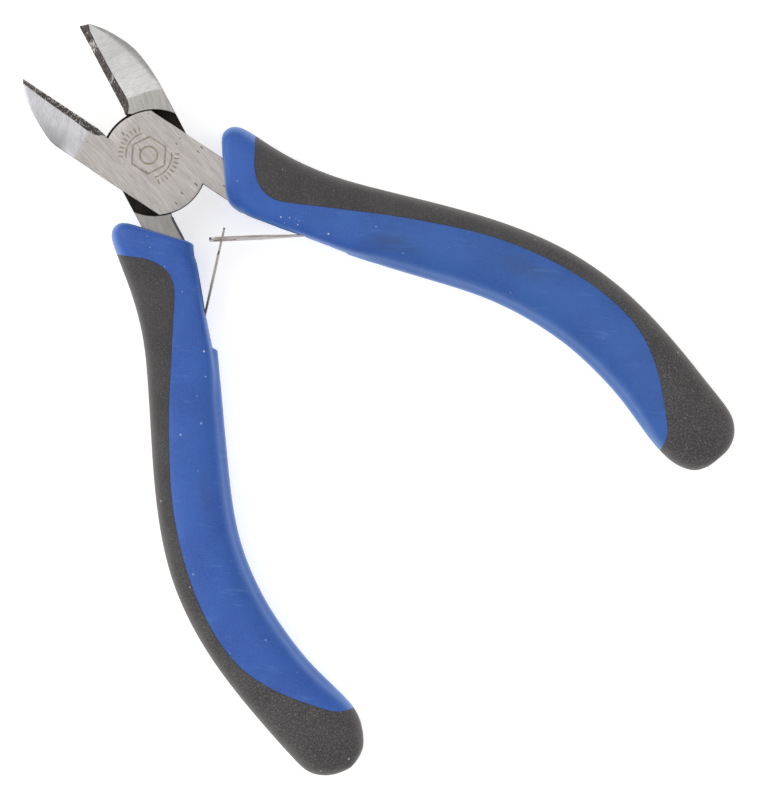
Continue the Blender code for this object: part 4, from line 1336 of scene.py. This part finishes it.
rivet_mat = spring_steel("rivet_steel", 0.0, rivet=True)


def fit(ob, body, slot, *nodes, mat=None, blend=None):
    """Settle a piece, give it its material, hang it under its body's empty or, given blend, only
    bake its place, and hide the parts of model.glb that it stands for.
    """
    settle(ob)
    if mat is not None:
        ob.data.materials.clear()
        ob.data.materials.append(mat)
    if blend is None:
        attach(ob, body)
    else:
        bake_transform(ob)
    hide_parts(*nodes)


for side in ("front", "back"):
    half = side + "_half"
    lever = make_lever(side)
    paint_lever(lever, side, lever_mats[side])
    fit(lever, half, "lever_steel", side + "_lever")
    skin, core = make_grip(side)
    fit(skin, half, "black_moulding", side + "_grip_overmould", mat=black)
    fit(core, half, "blue_moulding", side + "_grip_core", mat=blue)
    strip = make_strip(side)
    hinge, free = leaf_frame()
    # two points either side of the strip's hinge, handed to fit, which then bakes the strip in
    # place rather than hanging it under its body
    ends = [handle_to_world(side, hinge[0] + free[0] * k, hinge[1] + free[1] * k)
            for k in (-1.8, 1.8)]
    ends = [(x * MM, y * MM, -HEAD_HALF * MM) for x, y in ends]
    fit(strip, None, "spring_steel", side + "_leaf_spring", side + "_leaf_spring_root",
        mat=spring_steel(side + "_leaf_steel", leaf_angle[side],
                         dark_reflection_from=-16.0 if side == "back" else None),
        blend=(half, side + "_spring", *ends))
    fit(make_stud(side), half, "rivet_steel", side + "_spring_rivet", mat=rivet_mat)
fit(make_pivot(), "front_half", "rivet_steel", "pivot_rivet", mat=rivet_mat)

# ---------------------------------------------------------------- floor, light, camera
# lengths in metres
FLOOR_HALF, FLOOR_GAP = 1.5, 0.00005
VIEW_SPAN = 0.1156                 # length in view at the middle of the grips
CAM_DIST = 1.5
CAM_TURN = -40.0
SENSOR = 36.0                      # sensor width in millimetres


def make_floor():
    mesh = bpy.data.meshes.new("floor")
    f = FLOOR_HALF
    mesh.from_pydata([(-f, -f, 0), (f, -f, 0), (f, f, 0), (-f, f, 0)], [], [(0, 1, 2, 3)])
    floor = bpy.data.objects.new("floor", mesh)
    floor.location.z = cad_lo.z - FLOOR_GAP
    bpy.context.scene.collection.objects.link(floor)
    pale = Shader("pale_floor")
    pale.set(color=(0.74, 0.74, 0.74), rough=0.9, spec=0.1, glow_color=(1.0, 1.0, 1.0),
             glow=0.58)
    mesh.materials.append(pale.mat)


def glow(sky, direction, power, gain):
    """A soft round patch of light in the sky round a direction."""
    coords = sky.node("ShaderNodeTexCoord", "Generated", {})
    norm = sky.node("ShaderNodeVectorMath", 0, {0: coords}, operation='NORMALIZE')
    dot = sky.node("ShaderNodeVectorMath", "Value", {0: norm, 1: Vector(direction).normalized()},
                   operation='DOT_PRODUCT')
    return sky.times(sky.math('POWER', sky.math('MAXIMUM', dot, 0.0), power), gain)


def leaning(angle, tilt):
    """World direction that leans from straight up by tilt, towards an angle in the view."""
    a, t = math.radians(angle + CAM_TURN), math.radians(tilt)
    return (math.sin(t) * math.cos(a), math.sin(t) * math.sin(a), math.cos(t))


def make_world():
    world = bpy.data.worlds.new("studio")
    bpy.context.scene.world = world
    world.use_nodes = True
    world.node_tree.nodes.clear()
    sky = Nodes(world.node_tree)
    # direction, tightness, strength
    patches = [glow(sky, *patch) for patch in (
        (leaning(130, 38), 5.0, 0.60), (leaning(172, 66), 4.0, 0.20),
        (leaning(172, 55), 22.0, 2.6), (leaning(-40, 55), 4.0, 0.22),
        ((0, 0, 1), 1.0, 0.42))]
    even_light = 0.42
    total = patches[0]
    for patch in patches[1:] + [even_light]:
        total = sky.math('ADD', total, patch)
    light = sky.node("ShaderNodeBackground", 0, {"Color": (1.0, 0.995, 0.985),
                                                 "Strength": total})
    out = sky.tree.nodes.new("ShaderNodeOutputWorld")
    sky.put(out.inputs[0], light)


def make_camera():
    data = bpy.data.cameras.new("camera")
    data.lens = SENSOR * CAM_DIST / VIEW_SPAN
    data.clip_start, data.clip_end = 0.05, 10.0
    cam = bpy.data.objects.new("camera", data)
    cam.location = (0.00285, -0.04706, -HEAD_HALF * MM + CAM_DIST)
    cam.rotation_euler = (0.0, 0.0, math.radians(CAM_TURN))
    bpy.context.scene.collection.objects.link(cam)
    bpy.context.scene.camera = cam


make_floor()
make_world()
make_camera()
bpy.context.scene.view_settings.view_transform = 'Standard'
